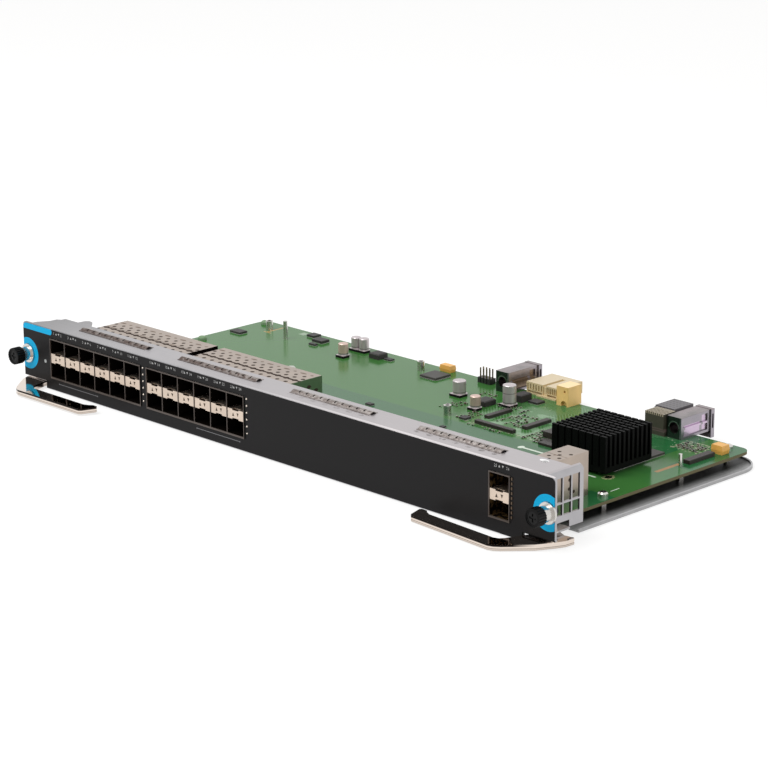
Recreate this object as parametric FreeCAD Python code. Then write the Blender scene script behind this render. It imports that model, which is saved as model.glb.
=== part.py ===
import FreeCAD, Part
import math
import os

# A plug-in line card for a modular network switch, in millimetres.
# Frame: +X along the front panel, +Y from the panel back to the backplane, +Z up.
# The origin is the centre of the tray's underside, on which the card rests.
#
# The drawing dimensions below are taken the way the card is drawn in a workshop: across from the
# panel's left end, back from the panel's front face and up from the tray's underside.

Vec = FreeCAD.Vector

# ---- sheet and board stock -----------------------------------------------------------------
panel_w = 438.0          # front panel, end to end
panel_h = 38.6           # front panel, bottom edge to top flange


def from_end(inset):
    """The place across that lies this far in from the panel's right end."""
    return panel_w - inset


def from_middle(offset):
    """The place across that lies this far right of the panel's middle."""
    return panel_w / 2 + offset


panel_t = 1.2            # panel sheet
tray_t = 1.0             # tray sheet
film_t = 0.35            # printed overlay on the face
cage_t = 0.4             # port cage sheet
board_t = 1.8            # circuit board
bend_r = 1.6             # outer radius of the folds

# ---- front panel ---------------------------------------------------------------------------
notch_w = 21.6           # bottom corner notch for the ejector lever
notch_h = 4.5
flange_inset = 8.0       # top flange starts this far in from each panel end
flange_depth = 20.5      # top flange, front to back
foot_inset = 34.0        # bottom flange starts this far in from each panel end
foot_depth = 11.0
bracket_inset = 7.0      # outer face of the end bracket, from the panel end
bracket_depth = 28.9
bracket_foot = 6.8       # height of the bracket's lower edge
bracket_cut_y = (5.0, 18.4)   # recess in the bracket's lower edge, over the lever's jaw
bracket_cut_top = 10.5
window_y0 = 7.4          # first bracket window
window_w = 5.6
window_bar = 0.95
window_rows = ((10.9 + 3.2, 20.1), (21.0, 34.0))
window_columns = 3
face_corner_r = 2.6

# ---- ports ---------------------------------------------------------------------------------
port_pitch = 14.25       # column pitch of the stacked pluggable-module cages
port_rows = 2
block_columns = 6        # columns in each of the two main cages
left_block_x = 27.5
block_gap = 5.8
uplink_inset = 44.9      # the single-column cage starts this far from the right end
cage_top = 32.3
cage_front = -0.7        # the cages stand this far proud of the panel face
cage_depth = 59.5        # rear wall, from the panel face
cage_slack = 0.3         # panel cut-out round a cage
shelf_z = (17.4, 23.3)   # band between the lower and the upper port
shelf_depth = 44.0
shelf_gap = 0.15
shelf_t = 0.5
seam_y = 42.5            # joint of the cage's rear cover
seam_w = 0.35
guide_size = 1.3         # square section of a light guide
guide_spread = 3.8       # between the two light guides of a column
arrow_w = 1.8            # arrow-shaped window in front of a light guide
arrow_h = 2.2
connector_front = 46.0
connector_w = 11.6
connector_top = 29.6
slot_h = 3.0             # card slot in a port connector
slot_depth = 6.0
frame_t = 0.3            # spring frame round the cage mouths
frame_bar = 0.5
frame_lip = 0.5

# ---- circuit board and tray ----------------------------------------------------------------
board_top = 8.2
board_inset = (20.4, 17.4)   # from the panel's two ends
board_y = (8.0, 180.5)
board_corner_r = 6.0
tray_inset = 9.8         # tray side, from the panel end
tray_back = 184.6
tray_lip = 1.8           # upturned side of the tray
tray_corner_r = 19.0
tray_cut = (21.7, 29.0)  # clearance at the tray's front corners: inwards, backwards
standoff_r = 2.4
screw_hole_r = 1.7
shank_play = 0.35        # the screw's shank in the board's hole
shank_start = 2.4        # tip of the screw above the tray
screw_head_r = 2.8
screw_head_h = 2.2
screw_head_bevel = 0.8
fit_gap = 0.1
standoff_at = ((27.0, 66.0), (27.0, 120.0), (27.0, 174.0), (120.0, 112.0), (220.0, 70.0),
               (from_end(118.0), 145.0), (from_end(24.2), 64.0), (from_end(28.8), 174.0))
post_at = ((39.4, 166.5), (from_middle(-41.1), 166.4), (from_end(183.3), 110.8))
post_r = 2.3
post_h = 6.0
post_bore_r = 1.3
tall_pin_at = (64.2, 158.0)
tall_pin_r = 1.4
tall_pin_h = 11.9
short_pin_at = (from_end(26.1), 129.6)
short_pin_r = 1.0
short_pin_h = 7.4
rivet_at = (60.0, 160.0, from_end(160.0), from_end(60.0))
rivet_r = 1.6
rivet_head_r = 3.0
rivet_head_h = 0.7

# ---- shielding gasket strips on the top flange ---------------------------------------------
strip_x = ((43.8, 106.0), (136.0, 203.0), (from_end(206.0), from_end(143.0)), (from_end(107.0), from_end(47.0)))
strip_y = 9.0
strip_w = 7.0
strip_fingers = 11
strip_gap = 1.0
strip_t = 0.25
strip_rise = 1.1
strip_rail = 1.2

# ---- ejector levers ------------------------------------------------------------------------
pivot_inset = 11.0       # lever pivot, from the panel end and from the face
pivot_y = 9.0
pivot_r = 3.0
pivot_gap = 0.06         # running clearance of the lever on its pivot
pivot_head_r = 4.6
pivot_head_t = 0.5
pivot_rim = 0.8          # upset rim above the bracket
head_pocket = 0.35       # play round the pivot's head, in the lever's underside
lever_z = 0.9
lever_t = 3.2
lever_hub_r = 7.0
lever_tip = 86.2         # end of the handle, from the panel's end
lever_out = 23.4         # front edge of the handle, in front of the panel
handle_w = 8.8
handle_hook = 3.0        # the handle's tip turns back this far
jaw_out = 0.2            # the jaw reaches this far past the panel's end
jaw_y = (8.4, 15.6)
lever_clear = 0.4        # lever to the bracket above it
lever_bracket_t = 1.0
lever_bracket_w = (8.7, 29.0)
lever_bracket_y = 21.0
lever_bracket_up = 9.0
right_lever_turn = 3.3   # the right lever is pressed this many degrees further in
right_lever_drop = 0.75  # and hangs this much lower on its pivot

# ---- captive screws ------------------------------------------------------------------------
screw_inset = 4.8
screw_z = 19.1
ferrule_flange_r = 5.8
ferrule_flange_t = 1.2
ferrule_body_r = 4.4
ferrule_body_l = 5.0
ferrule_stub_r = 3.3
ferrule_bore_r = 3.9
ferrule_neck_bore_r = 1.75
ferrule_floor_t = 0.6
neck_r = 1.45
thread_r = 2.0
thread_l = 4.0
screw_travel = 4.0       # how far the knob can be pushed in
knob_r = 5.2
knob_skirt = 1.3         # the knob's skirt stays this far off the ferrule's flange when pushed in
knob_wall = 0.45
knob_face_t = 1.1
knob_flutes = 22
knob_flute_depth = 0.35
head_r = 3.4
cross_w = 1.1
cross_l = 4.6
cross_depth = 0.7
washer_r = 3.5
washer_t = 0.8
spring_r = 3.1
spring_wire_r = 0.3
spring_turns = 5
spring_steps = 10         # straight steps in one turn
seat_gap = 0.3
stop_gap = 0.7           # knob to ferrule, when pushed in

# ---- heat sink and switch chip --------------------------------------------------------------
sink_inset = 80.4        # left side of the heat sink, from the panel's right end
sink_y = 86.2
sink_size = (38.4, 38.2) # across, back
sink_base_t = 3.0
sink_h = 20.4
pins_across = 8
pins_back = 11
pin_x = 3.9
pin_y = 1.6
chip_inset = 88.0        # left side of the chip under it, from the panel's right end
chip_y = 98.5
chip_side = 42.0
chip_h = 2.4
lid_margin = 9.0         # chip edge to its lid
lid_side = 24.0
lid_h = 0.9
lid_front = 1.0
corner_mark = 1.5

# ---- backplane side ---------------------------------------------------------------------------
guide_module_x = (from_end(197.7), from_end(66.6))
guide_module_y = 166.8
guide_module_l = 28.4
guide_module_w = 10.3
guide_module_h = 12.6
guide_bore_r = 3.3
guide_flange_t = 3.0
guide_flange_foot = 4.2
guide_rib_t = 0.9
signal_x = (from_end(80.6), from_end(67.1))
signal_y = 164.5
signal_l = 10.5
signal_h = 13.0
signal_ribs = 9
signal_rear_x = (from_end(82.6), from_end(68.6))
signal_rear_l = 17.5
signal_rear_h = 13.4
contact_rows = 5
power_left_x = (from_end(181.7), from_end(157.5))
power_left_y = (176.3, 198.7)
power_left_h = 7.2
power_unit_w = 13.0      # first unit of the lower block
power_groove_w = 2.6     # gap between its two units
power_ledge = (1.6, 0.9) # foot in front of it: depth, height
power_slots = 6
slot_w = 0.85
power_right_x = (from_end(152.4), from_end(143.6))
power_right_y = (170.2, 182.0)
power_right_h = 11.8
blade_w = 2.0
blade_depth = 6.0
power_corner_r = 0.8
pilot_r = 0.8
pilot_inset = 2.6
mouth_r = 2.3
mouth_inset = 3.2

# ---- small parts on the board: place across, place back, then sizes ----------------------------
capacitors = ((121.4, 154.6, 6.3, 8.9), (115.7, 171.3, 6.3, 8.6), (122.6, 171.5, 6.3, 8.9),
              (from_end(205.9), 144.1, 8.0, 9.5), (from_end(179.5), 130.1, 6.3, 8.4), (from_end(170.2), 149.1, 8.0, 13.0))
can_base_h = 1.5
can_base_extra = 0.3
can_rim = 0.35
inductors = ((134.3, 164.3, 8.4, 8.1, 3.5), (from_end(186.5), 137.0, 8.3, 9.2, 3.4),
             (from_end(175.5), 158.0, 6.5, 9.0, 4.6))
tantalums = ((from_middle(-33.0), 174.2, 9.2, 5.2, 4.1), (from_end(30.4), 161.0, 7.9, 6.6, 5.0))
small_chips = ((26.0, 144.2, 9.5, 6.6, 1.5), (69.5, 171.5, 6.8, 6.4, 1.6), (81.2, 165.2, 9.0, 6.8, 2.0),
               (85.2, 158.6, 5.6, 2.8, 1.4), (144.5, 167.0, 6.0, 3.8, 1.2), (206.0, 91.9, 4.6, 3.2, 1.2),
               (from_end(169.5), 90.0, 3.2, 2.6, 1.1), (from_end(173.4), 110.0, 5.2, 5.0, 1.4),
               (from_end(166.8), 161.2, 7.6, 6.6, 1.5))
filter_strips = ((from_end(161.0), 110.0, 29.4, 3.0, 2.2), (from_end(164.2), 121.5, 3.6, 19.6, 2.0),
                 (from_end(134.6), 121.0, 3.9, 21.0, 2.0), (from_end(29.4), 136.0, 4.6, 21.5, 2.4),
                 (from_end(115.5), 117.7, 8.0, 9.0, 3.7), (from_end(111.5), 111.3, 8.0, 3.5, 1.2),
                 (from_end(108.0), 105.7, 10.0, 4.5, 1.6))
square_chip = (from_middle(-32.0), 156.2, 13.2, 1.6)
square_chip_pins = 8
header_at = (from_end(218.0), 172.3)
header_pitch = 2.54
header_columns = 4
header_rows = 2
header_base_h = 3.4
header_pin = 0.64
header_pin_top = 9.2


# ---- helpers -------------------------------------------------------------------------------
frame_x = -panel_w / 2
frame_y = -(tray_back + panel_t) / 2


def at(x, y, z=0.0):
    """The point x across from the panel's left end, y behind its face and z up, in the card's frame."""
    return Vec(x + frame_x, y + frame_y, z)


def box(x0, x1, y0, y1, z0, z1):
    """A block between two places across, two back and two heights."""
    return Part.makeBox(x1 - x0, y1 - y0, z1 - z0, at(x0, y0, z0))


def rod(x, y, z, radius, length, direction=Vec(0, 0, 1)):
    return Part.makeCylinder(radius, length, at(x, y, z), direction)


def fuse(first, *others):
    return first.fuse(list(others)).removeSplitter() if others else first


def cut(first, *others):
    return first.cut(list(others))


def plate(points, z0, z1):
    """A flat plate with the outline of the points, given across and back."""
    corners = [at(x, y, z0) for x, y in points]
    face = Part.Face(Part.makePolygon(corners + corners[:1]))
    return face.extrude(Vec(0, 0, z1 - z0))


def side_profile(points, x0, x1):
    """A bar along X whose section is the points, given back and up."""
    corners = [at(x0, y, z) for y, z in points]
    face = Part.Face(Part.makePolygon(corners + corners[:1]))
    return face.extrude(Vec(x1 - x0, 0, 0))


def front_profile(points, y0, y1):
    """A bar along Y whose section is the points, given across and up."""
    corners = [at(x, y0, z) for x, z in points]
    face = Part.Face(Part.makePolygon(corners + corners[:1]))
    return face.extrude(Vec(0, y1 - y0, 0))


def upright_edges(shape, x, y, reach=0.6):
    """The shape's vertical edges within reach of a place."""
    spot = at(x, y)
    return [e for e in shape.Edges
            if abs(e.Vertexes[0].X - e.Vertexes[-1].X) < 1e-6
            and abs(e.Vertexes[0].Y - e.Vertexes[-1].Y) < 1e-6
            and math.hypot(e.Vertexes[0].X - spot.x, e.Vertexes[0].Y - spot.y) < reach]


def mirrored(shape):
    """The shape's twin at the other end of the panel."""
    return shape.mirror(Vec(0, 0, 0), Vec(1, 0, 0))


def save(node, *solids):
    """Write one node; several solids in it stay separate."""
    shape = solids[0] if len(solids) == 1 else Part.makeCompound(list(solids))
    shape.exportStep("parts/" + node + ".step")


board_x = (board_inset[0], panel_w - board_inset[1])
right_block_x = left_block_x + block_columns * port_pitch + block_gap
cages = (("left", left_block_x, block_columns),
         ("right", right_block_x, block_columns),
         ("uplink", panel_w - uplink_inset, 1))
board_bottom = board_top - board_t
knob_front = ferrule_flange_t + ferrule_body_l + screw_travel + stop_gap + knob_face_t
knob_rear = ferrule_flange_t + knob_skirt + screw_travel


# ---- sheet metal -----------------------------------------------------------------------------
def port_cutouts(y0, y1, slack):
    return [box(x - slack, x + columns * port_pitch + slack, y0, y1,
                board_top - cage_t - slack, cage_top + slack) for _, x, columns in cages]


def make_front_panel():
    """Face, top flange, bottom flange and the two windowed end brackets, folded from one sheet."""
    face = box(0, panel_w, 0, panel_t, 0, panel_h)
    corners = [e for e in face.Edges if abs(e.Vertexes[0].Y - e.Vertexes[-1].Y) > panel_t / 2
               and e.BoundBox.ZMin > panel_h / 2]
    face = face.makeFillet(face_corner_r, corners)
    notches = [box(-1, notch_w, -1, panel_t + 1, -1, notch_h),
               box(panel_w - notch_w, panel_w + 1, -1, panel_t + 1, -1, notch_h)]
    face = cut(face, *notches)
    top = box(flange_inset + 9.0, panel_w - bracket_inset, 0, flange_depth, panel_h - panel_t, panel_h)
    left_end = plate(((flange_inset, 0), (flange_inset + 0.6, 4.0), (flange_inset + 4.7, 11.0),
                      (flange_inset + 5.0, 16.0), (flange_inset + 9.0, flange_depth - 2.0),
                      (flange_inset + 9.0, 0)), panel_h - panel_t, panel_h)
    tab = plate(((flange_inset + 20.0, flange_depth - 1.0), (flange_inset + 20.6, 25.5),
                 (flange_inset + 22.5, 27.5), (flange_inset + 26.0, 27.0),
                 (flange_inset + 34.0, flange_depth - 1.0)), panel_h - panel_t, panel_h)
    foot = box(foot_inset, panel_w - foot_inset, 0, foot_depth, tray_t, tray_t + panel_t)
    right = make_end_bracket(panel_h)
    left = mirrored(make_end_bracket(panel_h - panel_t - 1.6))
    bridge = box(bracket_inset, bracket_inset + panel_t, panel_t, 9.0, panel_h - panel_t - 3.0,
                 panel_h - panel_t)
    sheet = fuse(face, top, left_end, tab, foot, right, left, bridge)
    folds = [e for e in sheet.Edges
             if abs(e.BoundBox.ZMin - panel_h) < 1e-4 and abs(e.BoundBox.ZMax - panel_h) < 1e-4
             and abs(e.BoundBox.XMin - (panel_w - bracket_inset + frame_x)) < 1e-4
             and e.BoundBox.YLength > flange_depth / 2 and e.BoundBox.XLength < 1e-4]
    if folds:
        sheet = sheet.makeFillet(bend_r, folds)
    holes = [rod(x, -1, screw_z, ferrule_stub_r, panel_t + 2, Vec(0, 1, 0))
             for x in (screw_inset, panel_w - screw_inset)]
    rivets = [rod(x, foot_depth / 2 + 1, -1, rivet_r, 6) for x in rivet_at]
    eyelet = rod(from_end(21.6), 15.8, panel_h - 3, 1.8, 6)
    return cut(sheet, *port_cutouts(-1, panel_t + 0.01, cage_slack), *holes, *rivets, eyelet)


def make_end_bracket(top):
    """Upright plate at the right end, with a recess over the lever's jaw and two rows of windows."""
    x1 = panel_w - bracket_inset
    x0 = x1 - panel_t
    plate_ = side_profile(((0, bracket_foot), (bracket_cut_y[0], bracket_foot),
                           (bracket_cut_y[0], bracket_cut_top), (bracket_cut_y[1], bracket_cut_top),
                           (bracket_cut_y[1], bracket_foot), (bracket_depth, bracket_foot),
                           (bracket_depth, top - 3.0), (bracket_depth - 2.0, top), (0, top)), x0, x1)
    windows = []
    for column in range(window_columns):
        y = window_y0 + column * (window_w + window_bar)
        for low, high in window_rows:
            windows.append(box(x0 - 1, x1 + 1, y, y + window_w, low, min(high, top - 3.0)))
    return cut(plate_, *windows)


def make_overlay():
    """Printed film on the panel's face, cut out round the ports and the screws."""
    film = box(0.5, panel_w - 0.5, -film_t, 0, 0.4, panel_h - 0.7)
    corners = [e for e in film.Edges if abs(e.Vertexes[0].Y - e.Vertexes[-1].Y) > film_t / 2
               and e.BoundBox.ZMin > panel_h / 2]
    film = film.makeFillet(face_corner_r, corners)
    notches = [box(-1, notch_w + 0.3, -1, 1, -1, notch_h + 0.4),
               box(panel_w - notch_w - 0.3, panel_w + 1, -1, 1, -1, notch_h + 0.4)]
    rings = [rod(x, -1, screw_z, ferrule_flange_r + 0.2, 2, Vec(0, 1, 0))
             for x in (screw_inset, panel_w - screw_inset)]
    return cut(film, *notches, *rings, *port_cutouts(-1, 1, cage_slack))


def make_tray():
    """Folded sheet under the board: floor with rounded rear corners, upturned sides, open front corners."""
    x0 = tray_inset
    x1 = panel_w - tray_inset
    y0 = panel_t
    floor = box(x0, x1, y0, tray_back, 0, tray_lip)
    rear = upright_edges(floor, x0, tray_back) + upright_edges(floor, x1, tray_back)
    floor = floor.makeFillet(tray_corner_r, rear)
    inner = box(x0 + tray_t, x1 - tray_t, y0 - 1, tray_back - tray_t, tray_t, tray_lip + 1)
    rear = upright_edges(inner, x0 + tray_t, tray_back - tray_t)
    rear += upright_edges(inner, x1 - tray_t, tray_back - tray_t)
    inner = inner.makeFillet(tray_corner_r - tray_t, rear)
    open_back = box(x0 + tray_corner_r, x1 - tray_corner_r, tray_back - tray_t - 1, tray_back + 1,
                    tray_t, tray_lip + 1)
    reach, back = tray_cut
    corners = [box(x0 - 1, x0 + reach, y0 - 1, back, -1, tray_lip + 1),
               box(x1 - reach, x1 + 1, y0 - 1, back, -1, tray_lip + 1)]
    rivets = [rod(x, foot_depth / 2 + 1, -1, rivet_r, 6) for x in rivet_at]
    return cut(floor, inner, open_back, *corners, *rivets)


def make_strip(x0, x1):
    """One shielding strip: a rail at each side and a row of arched fingers between narrow gaps."""
    arch = []
    steps = 4
    y0 = strip_y
    for k in range(steps + 1):
        angle = math.pi * k / steps
        arch.append((y0 + strip_rail + (strip_w - 2 * strip_rail) * k / steps,
                     panel_h + strip_t + strip_rise * math.sin(angle)))
    top = [(y0, panel_h + strip_t)] + arch + [(y0 + strip_w, panel_h + strip_t)]
    below = [(y, max(z - strip_t, panel_h)) for y, z in reversed(top)]
    strip = side_profile(top + below, x0, x1)
    pitch = (x1 - x0) / strip_fingers
    gaps = [box(x0 + pitch * k - strip_gap / 2, x0 + pitch * k + strip_gap / 2,
                y0 + strip_rail + 0.6, y0 + strip_w + 1, panel_h - 1, panel_h + strip_rise + 1)
            for k in range(1, strip_fingers)]
    return cut(strip, *gaps)


def make_rivet(x):
    """Flat-headed rivet through the tray and the panel's bottom flange."""
    y = foot_depth / 2 + 1
    top = tray_t + panel_t
    return fuse(rod(x, y, 0, rivet_r, top), rod(x, y, top, rivet_head_r, rivet_head_h))


# ---- ports -----------------------------------------------------------------------------------
def column_x(x0, column):
    return x0 + column * port_pitch


def make_cage_shell(x0, columns):
    """Top, sides and rear of a stacked cage, with the joint line of the rear cover."""
    x1 = x0 + columns * port_pitch
    outer = box(x0, x1, cage_front, cage_depth, board_top, cage_top)
    inner = box(x0 + cage_t, x1 - cage_t, cage_front - 1, cage_depth - cage_t,
                board_top - 1, cage_top - cage_t)
    seam = box(x0 - 1, x1 + 1, seam_y, seam_y + seam_w, cage_top - cage_t / 2, cage_top + 1)
    tabs = [box(column_x(x0, c) + port_pitch / 2 - 1.2, column_x(x0, c) + port_pitch / 2 + 1.2,
                seam_y - 1.6, seam_y + seam_w, cage_top - cage_t / 2, cage_top + 1)
            for c in range(columns)]
    return cut(outer, inner, seam, *tabs)


def make_cage_floor(x0, columns):
    """Floor sheet on the board, with a lip that turns down over the board's front edge."""
    x1 = x0 + columns * port_pitch
    floor = box(x0 + cage_t, x1 - cage_t, cage_front, cage_depth - cage_t, board_top, board_top + cage_t)
    return floor


def make_dividers(x0, columns):
    """Upright sheets between the columns."""
    low = board_top + cage_t
    high = cage_top - cage_t
    return [box(column_x(x0, c) - cage_t / 2, column_x(x0, c) + cage_t / 2, cage_front,
                connector_front - 0.5, low, high) for c in range(1, columns)]


def port_walls(x0, column, columns):
    """Clear width of one column, between the sheets on its two sides."""
    left = column_x(x0, column) + (cage_t if column == 0 else cage_t / 2)
    right = column_x(x0, column + 1) - (cage_t if column == columns - 1 else cage_t / 2)
    return left, right


def make_shelf(x0, column, columns):
    """Hollow shelf between the two ports of a column; an arrow up and an arrow down are cut in its front."""
    left, right = port_walls(x0, column, columns)
    left += shelf_gap
    right -= shelf_gap
    low, high = shelf_z
    middle = column_x(x0, column) + port_pitch / 2
    shell = box(left, right, cage_front, shelf_depth, low, high)
    hollow = box(left + shelf_t, right - shelf_t, cage_front + shelf_t, shelf_depth + 1,
                 low + shelf_t, high - shelf_t)
    centre = (low + high) / 2
    windows = []
    for side in (-1, 1):
        x = middle + side * guide_spread / 2
        base = centre + side * arrow_h / 2
        windows.append(front_profile(((x - arrow_w / 2, base), (x + arrow_w / 2, base),
                                      (x, centre - side * arrow_h / 2)), cage_front - 1, cage_front + shelf_t + 1))
    latch = 2.6
    slots = [box(middle - latch, middle + latch, cage_front - 1, cage_front + 2.0, z0, z1)
             for z0, z1 in ((low - 1, low + 0.7), (high - 0.7, high + 1))]
    return cut(shell, hollow, *windows, *slots)


def make_light_guides(x0, column):
    """Two clear bars that carry the light of the status lamps to the shelf's front."""
    middle = column_x(x0, column) + port_pitch / 2
    centre = sum(shelf_z) / 2
    half = guide_size / 2
    return [box(middle + s * guide_spread / 2 - half, middle + s * guide_spread / 2 + half,
                cage_front + shelf_t + fit_gap, shelf_depth - 1.0, centre - half, centre + half)
            for s in (-1, 1)]


def make_port_connector(x0, column):
    """Stacked receptacle at the back of a column, with a card slot for each port."""
    middle = column_x(x0, column) + port_pitch / 2
    lower = (board_top + cage_t + shelf_z[0]) / 2
    upper = (shelf_z[1] + cage_top - cage_t) / 2
    front = connector_front
    back = cage_depth - cage_t - 0.4
    section = [(front, board_top + cage_t)]
    for centre in (lower, upper):
        section += [(front, centre - slot_h / 2), (front + slot_depth, centre - slot_h / 2),
                    (front + slot_depth, centre + slot_h / 2), (front, centre + slot_h / 2)]
    section += [(front, connector_top), (back - 3.0, connector_top), (back, connector_top - 3.0),
                (back, board_top + cage_t)]
    return side_profile(section, middle - connector_w / 2, middle + connector_w / 2)


def make_spring_frame(x0, columns):
    """Thin spring frame round the cage mouths, with a bar in front of each divider."""
    x1 = x0 + columns * port_pitch
    low = board_top - cage_t
    high = cage_top
    frame = box(x0 - frame_lip / 2, x1 + frame_lip / 2, cage_front - frame_t, cage_front,
                low - frame_lip / 2, high + frame_lip / 2)
    mouths = []
    for c in range(columns):
        left = column_x(x0, c) + frame_bar / 2
        mouths.append(box(left, left + port_pitch - frame_bar, cage_front - 1, cage_front + 1,
                          board_top + cage_t, cage_top - cage_t))
    return cut(frame, *mouths)


# ---- ejector levers ----------------------------------------------------------------------------
def make_lever():
    """Left ejector lever: flat plate with a jaw, a hub, an arm through the notch and a long handle."""
    x = pivot_inset
    y = pivot_y
    inner = handle_w - lever_out
    outer = -lever_out
    points = ((-jaw_out, jaw_y[0]), (-jaw_out, jaw_y[1] - 1.0), (1.4 - jaw_out, jaw_y[1]),
              (x - 8.8, jaw_y[1] - 0.6), (x - 4.6, y + 5.2), (x, y + lever_hub_r), (x + 4.9, y + 4.9),
              (x + lever_hub_r, y), (x + 8.6, y - 7.4), (x + 10.0, y - 12.0), (x + 12.6, inner + 4.1),
              (x + 14.4, inner + 1.2), (x + 17.4, inner), (lever_tip - 9.8, inner),
              (lever_tip - 6.6, inner + 0.45 * handle_hook), (lever_tip - 4.6, inner + handle_hook),
              (lever_tip - 1.0, inner + handle_hook), (lever_tip, inner + 0.6 * handle_hook),
              (lever_tip - 3.2, outer + 1.8), (lever_tip - 4.6, outer + 0.6), (x + 12.6, outer),
              (x + 9.4, outer + 1.2), (x + 6.4, outer + 3.8), (x - 4.6, y - 15.6),
              (x - 6.6, y - 11.6), (x - 9.4, y - 5.6))
    body = plate(points, lever_z, lever_z + lever_t)
    return cut(body, rod(x, y, lever_z - 1, pivot_r + pivot_gap, lever_t + 2),
               rod(x, y, lever_z - 1, pivot_head_r + head_pocket, pivot_head_t + 1 + seat_gap))


def make_lever_bracket():
    """Left lever's bracket: a flat over the lever and a flange against the panel's back."""
    x0, x1 = lever_bracket_w
    low = lever_z + lever_t + lever_clear
    flat = box(x0, x1, panel_t, lever_bracket_y, low, low + lever_bracket_t)
    back = box(x0, min(x1, left_block_x - cage_slack - 1.0), panel_t, panel_t + lever_bracket_t,
               low, low + lever_bracket_up)
    return cut(fuse(flat, back), rod(pivot_inset, pivot_y, low - 1, pivot_r, lever_bracket_t + 2))


def make_pivot(drop=0.0):
    """Shoulder rivet that hangs the left lever from its bracket; its head lies in the lever's pocket."""
    low = lever_z - drop
    top = lever_z + lever_t + lever_clear + lever_bracket_t
    return fuse(rod(pivot_inset, pivot_y, low, pivot_r, top - low),
                rod(pivot_inset, pivot_y, low, pivot_head_r, pivot_head_t),
                rod(pivot_inset, pivot_y, top, pivot_r + pivot_rim, pivot_head_t))


# ---- captive screws ------------------------------------------------------------------------------
def turned(x, rings):
    """A turned piece on the screw's axis at x: rings of start, end and radius, along Y."""
    pieces = [Part.makeCylinder(radius, end - start, at(x, start, screw_z), Vec(0, 1, 0))
              for start, end, radius in rings]
    return fuse(*pieces)


def make_ferrule(x):
    """Ferrule pressed into the panel; its bore holds the spring."""
    front = -ferrule_flange_t - ferrule_body_l
    outer = turned(x, ((front, 0, ferrule_body_r), (-ferrule_flange_t, 0, ferrule_flange_r),
                       (0, panel_t, ferrule_stub_r)))
    return cut(outer, turned(x, ((front - 1, -ferrule_floor_t, ferrule_bore_r),
                                 (-ferrule_floor_t, panel_t + 1, ferrule_neck_bore_r))))


def make_captive_screw(x):
    """Screw with a cross recess, a relieved neck and a threaded end that keeps it in the ferrule."""
    head_front = -knob_front + 0.5
    head_back = -knob_front + knob_face_t
    thread_start = panel_t + seat_gap
    blank = turned(x, ((head_front, head_back, head_r), (head_back, thread_start, neck_r),
                       (thread_start, thread_start + thread_l, thread_r)))
    half = cross_w / 2
    reach = cross_l / 2
    cross = [box(x - reach, x + reach, head_front - 1, head_front + cross_depth * 0.7,
                 screw_z - half, screw_z + half),
             box(x - half, x + half, head_front - 1, head_front + cross_depth * 0.7,
                 screw_z - reach, screw_z + reach)]
    return cut(blank, *cross)


def make_knob(x):
    """Fluted knob over the screw's head; its skirt slides over the ferrule when the screw goes in."""
    flutes = []
    for k in range(knob_flutes * 2):
        angle = math.pi * k / knob_flutes
        radius = knob_r if k % 2 == 0 else knob_r - knob_flute_depth
        flutes.append(at(x + radius * math.cos(angle), -knob_front, screw_z + radius * math.sin(angle)))
    face = Part.Face(Part.makePolygon(flutes + flutes[:1]))
    blank = face.extrude(Vec(0, knob_front - knob_rear, 0))
    skirt = knob_r - knob_wall
    hollow = turned(x, ((-knob_front + knob_face_t, -knob_rear + 1, ferrule_body_r + 0.2),))
    bore = turned(x, ((-knob_front - 1, -knob_front + knob_face_t + 1, head_r),))
    rim = turned(x, ((-knob_front - 1, -knob_front + 0.3, skirt - 0.5),))
    return cut(blank, hollow, bore, rim)


def make_washer(x):
    """Thrust washer between the spring and the knob."""
    start = -knob_front + knob_face_t + seat_gap
    return cut(turned(x, ((start, start + washer_t, washer_r),)),
               turned(x, ((start - 1, start + washer_t + 1, neck_r + 0.2),)))


def make_spring(x):
    """Coil spring between the washer and the floor of the ferrule, in straight steps round the axis."""
    start = -knob_front + knob_face_t + seat_gap + washer_t + spring_wire_r + fit_gap
    length = -ferrule_floor_t - spring_wire_r - fit_gap - start
    steps = spring_turns * spring_steps
    sections = []
    for k in range(steps + 1):
        angle = 2 * math.pi * k / spring_steps
        corners = []
        for n in range(6):
            turn = math.pi * n / 3
            radius = spring_r + spring_wire_r * math.cos(turn)
            corners.append(at(x + radius * math.cos(angle),
                              start + length * k / steps + spring_wire_r * math.sin(turn),
                              screw_z + radius * math.sin(angle)))
        sections.append(Part.makePolygon(corners + corners[:1]))
    return Part.makeLoft(sections, True, True)


# ---- heat sink, chips and connectors ----------------------------------------------------------------
def make_heat_sink():
    """Base plate with rows of upright pins."""
    x0 = from_end(sink_inset)
    width, depth = sink_size
    low = board_top + chip_h
    base = box(x0, x0 + width, sink_y, sink_y + depth, low, low + sink_base_t)
    pitch_x = (width - pin_x) / (pins_across - 1)
    pitch_y = (depth - pin_y) / (pins_back - 1)
    pins = [box(x0 + i * pitch_x, x0 + i * pitch_x + pin_x, sink_y + j * pitch_y,
                sink_y + j * pitch_y + pin_y, low + sink_base_t, low + sink_h)
            for i in range(pins_across) for j in range(pins_back)]
    return base.fuse(pins)


def make_switch_chip():
    """Ball-grid package with a raised metal lid, off centre under the heat sink."""
    x = from_end(chip_inset)
    y = chip_y
    carrier = box(x, x + chip_side, y, y + chip_side, board_top, board_top + chip_h - lid_h)
    carrier = carrier.makeChamfer(corner_mark, upright_edges(carrier, x, y))
    cover = box(x + lid_margin, x + lid_margin + lid_side, y + lid_front, y + lid_front + lid_side,
                board_top + chip_h - lid_h, board_top + chip_h)
    return fuse(carrier, cover)


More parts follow.
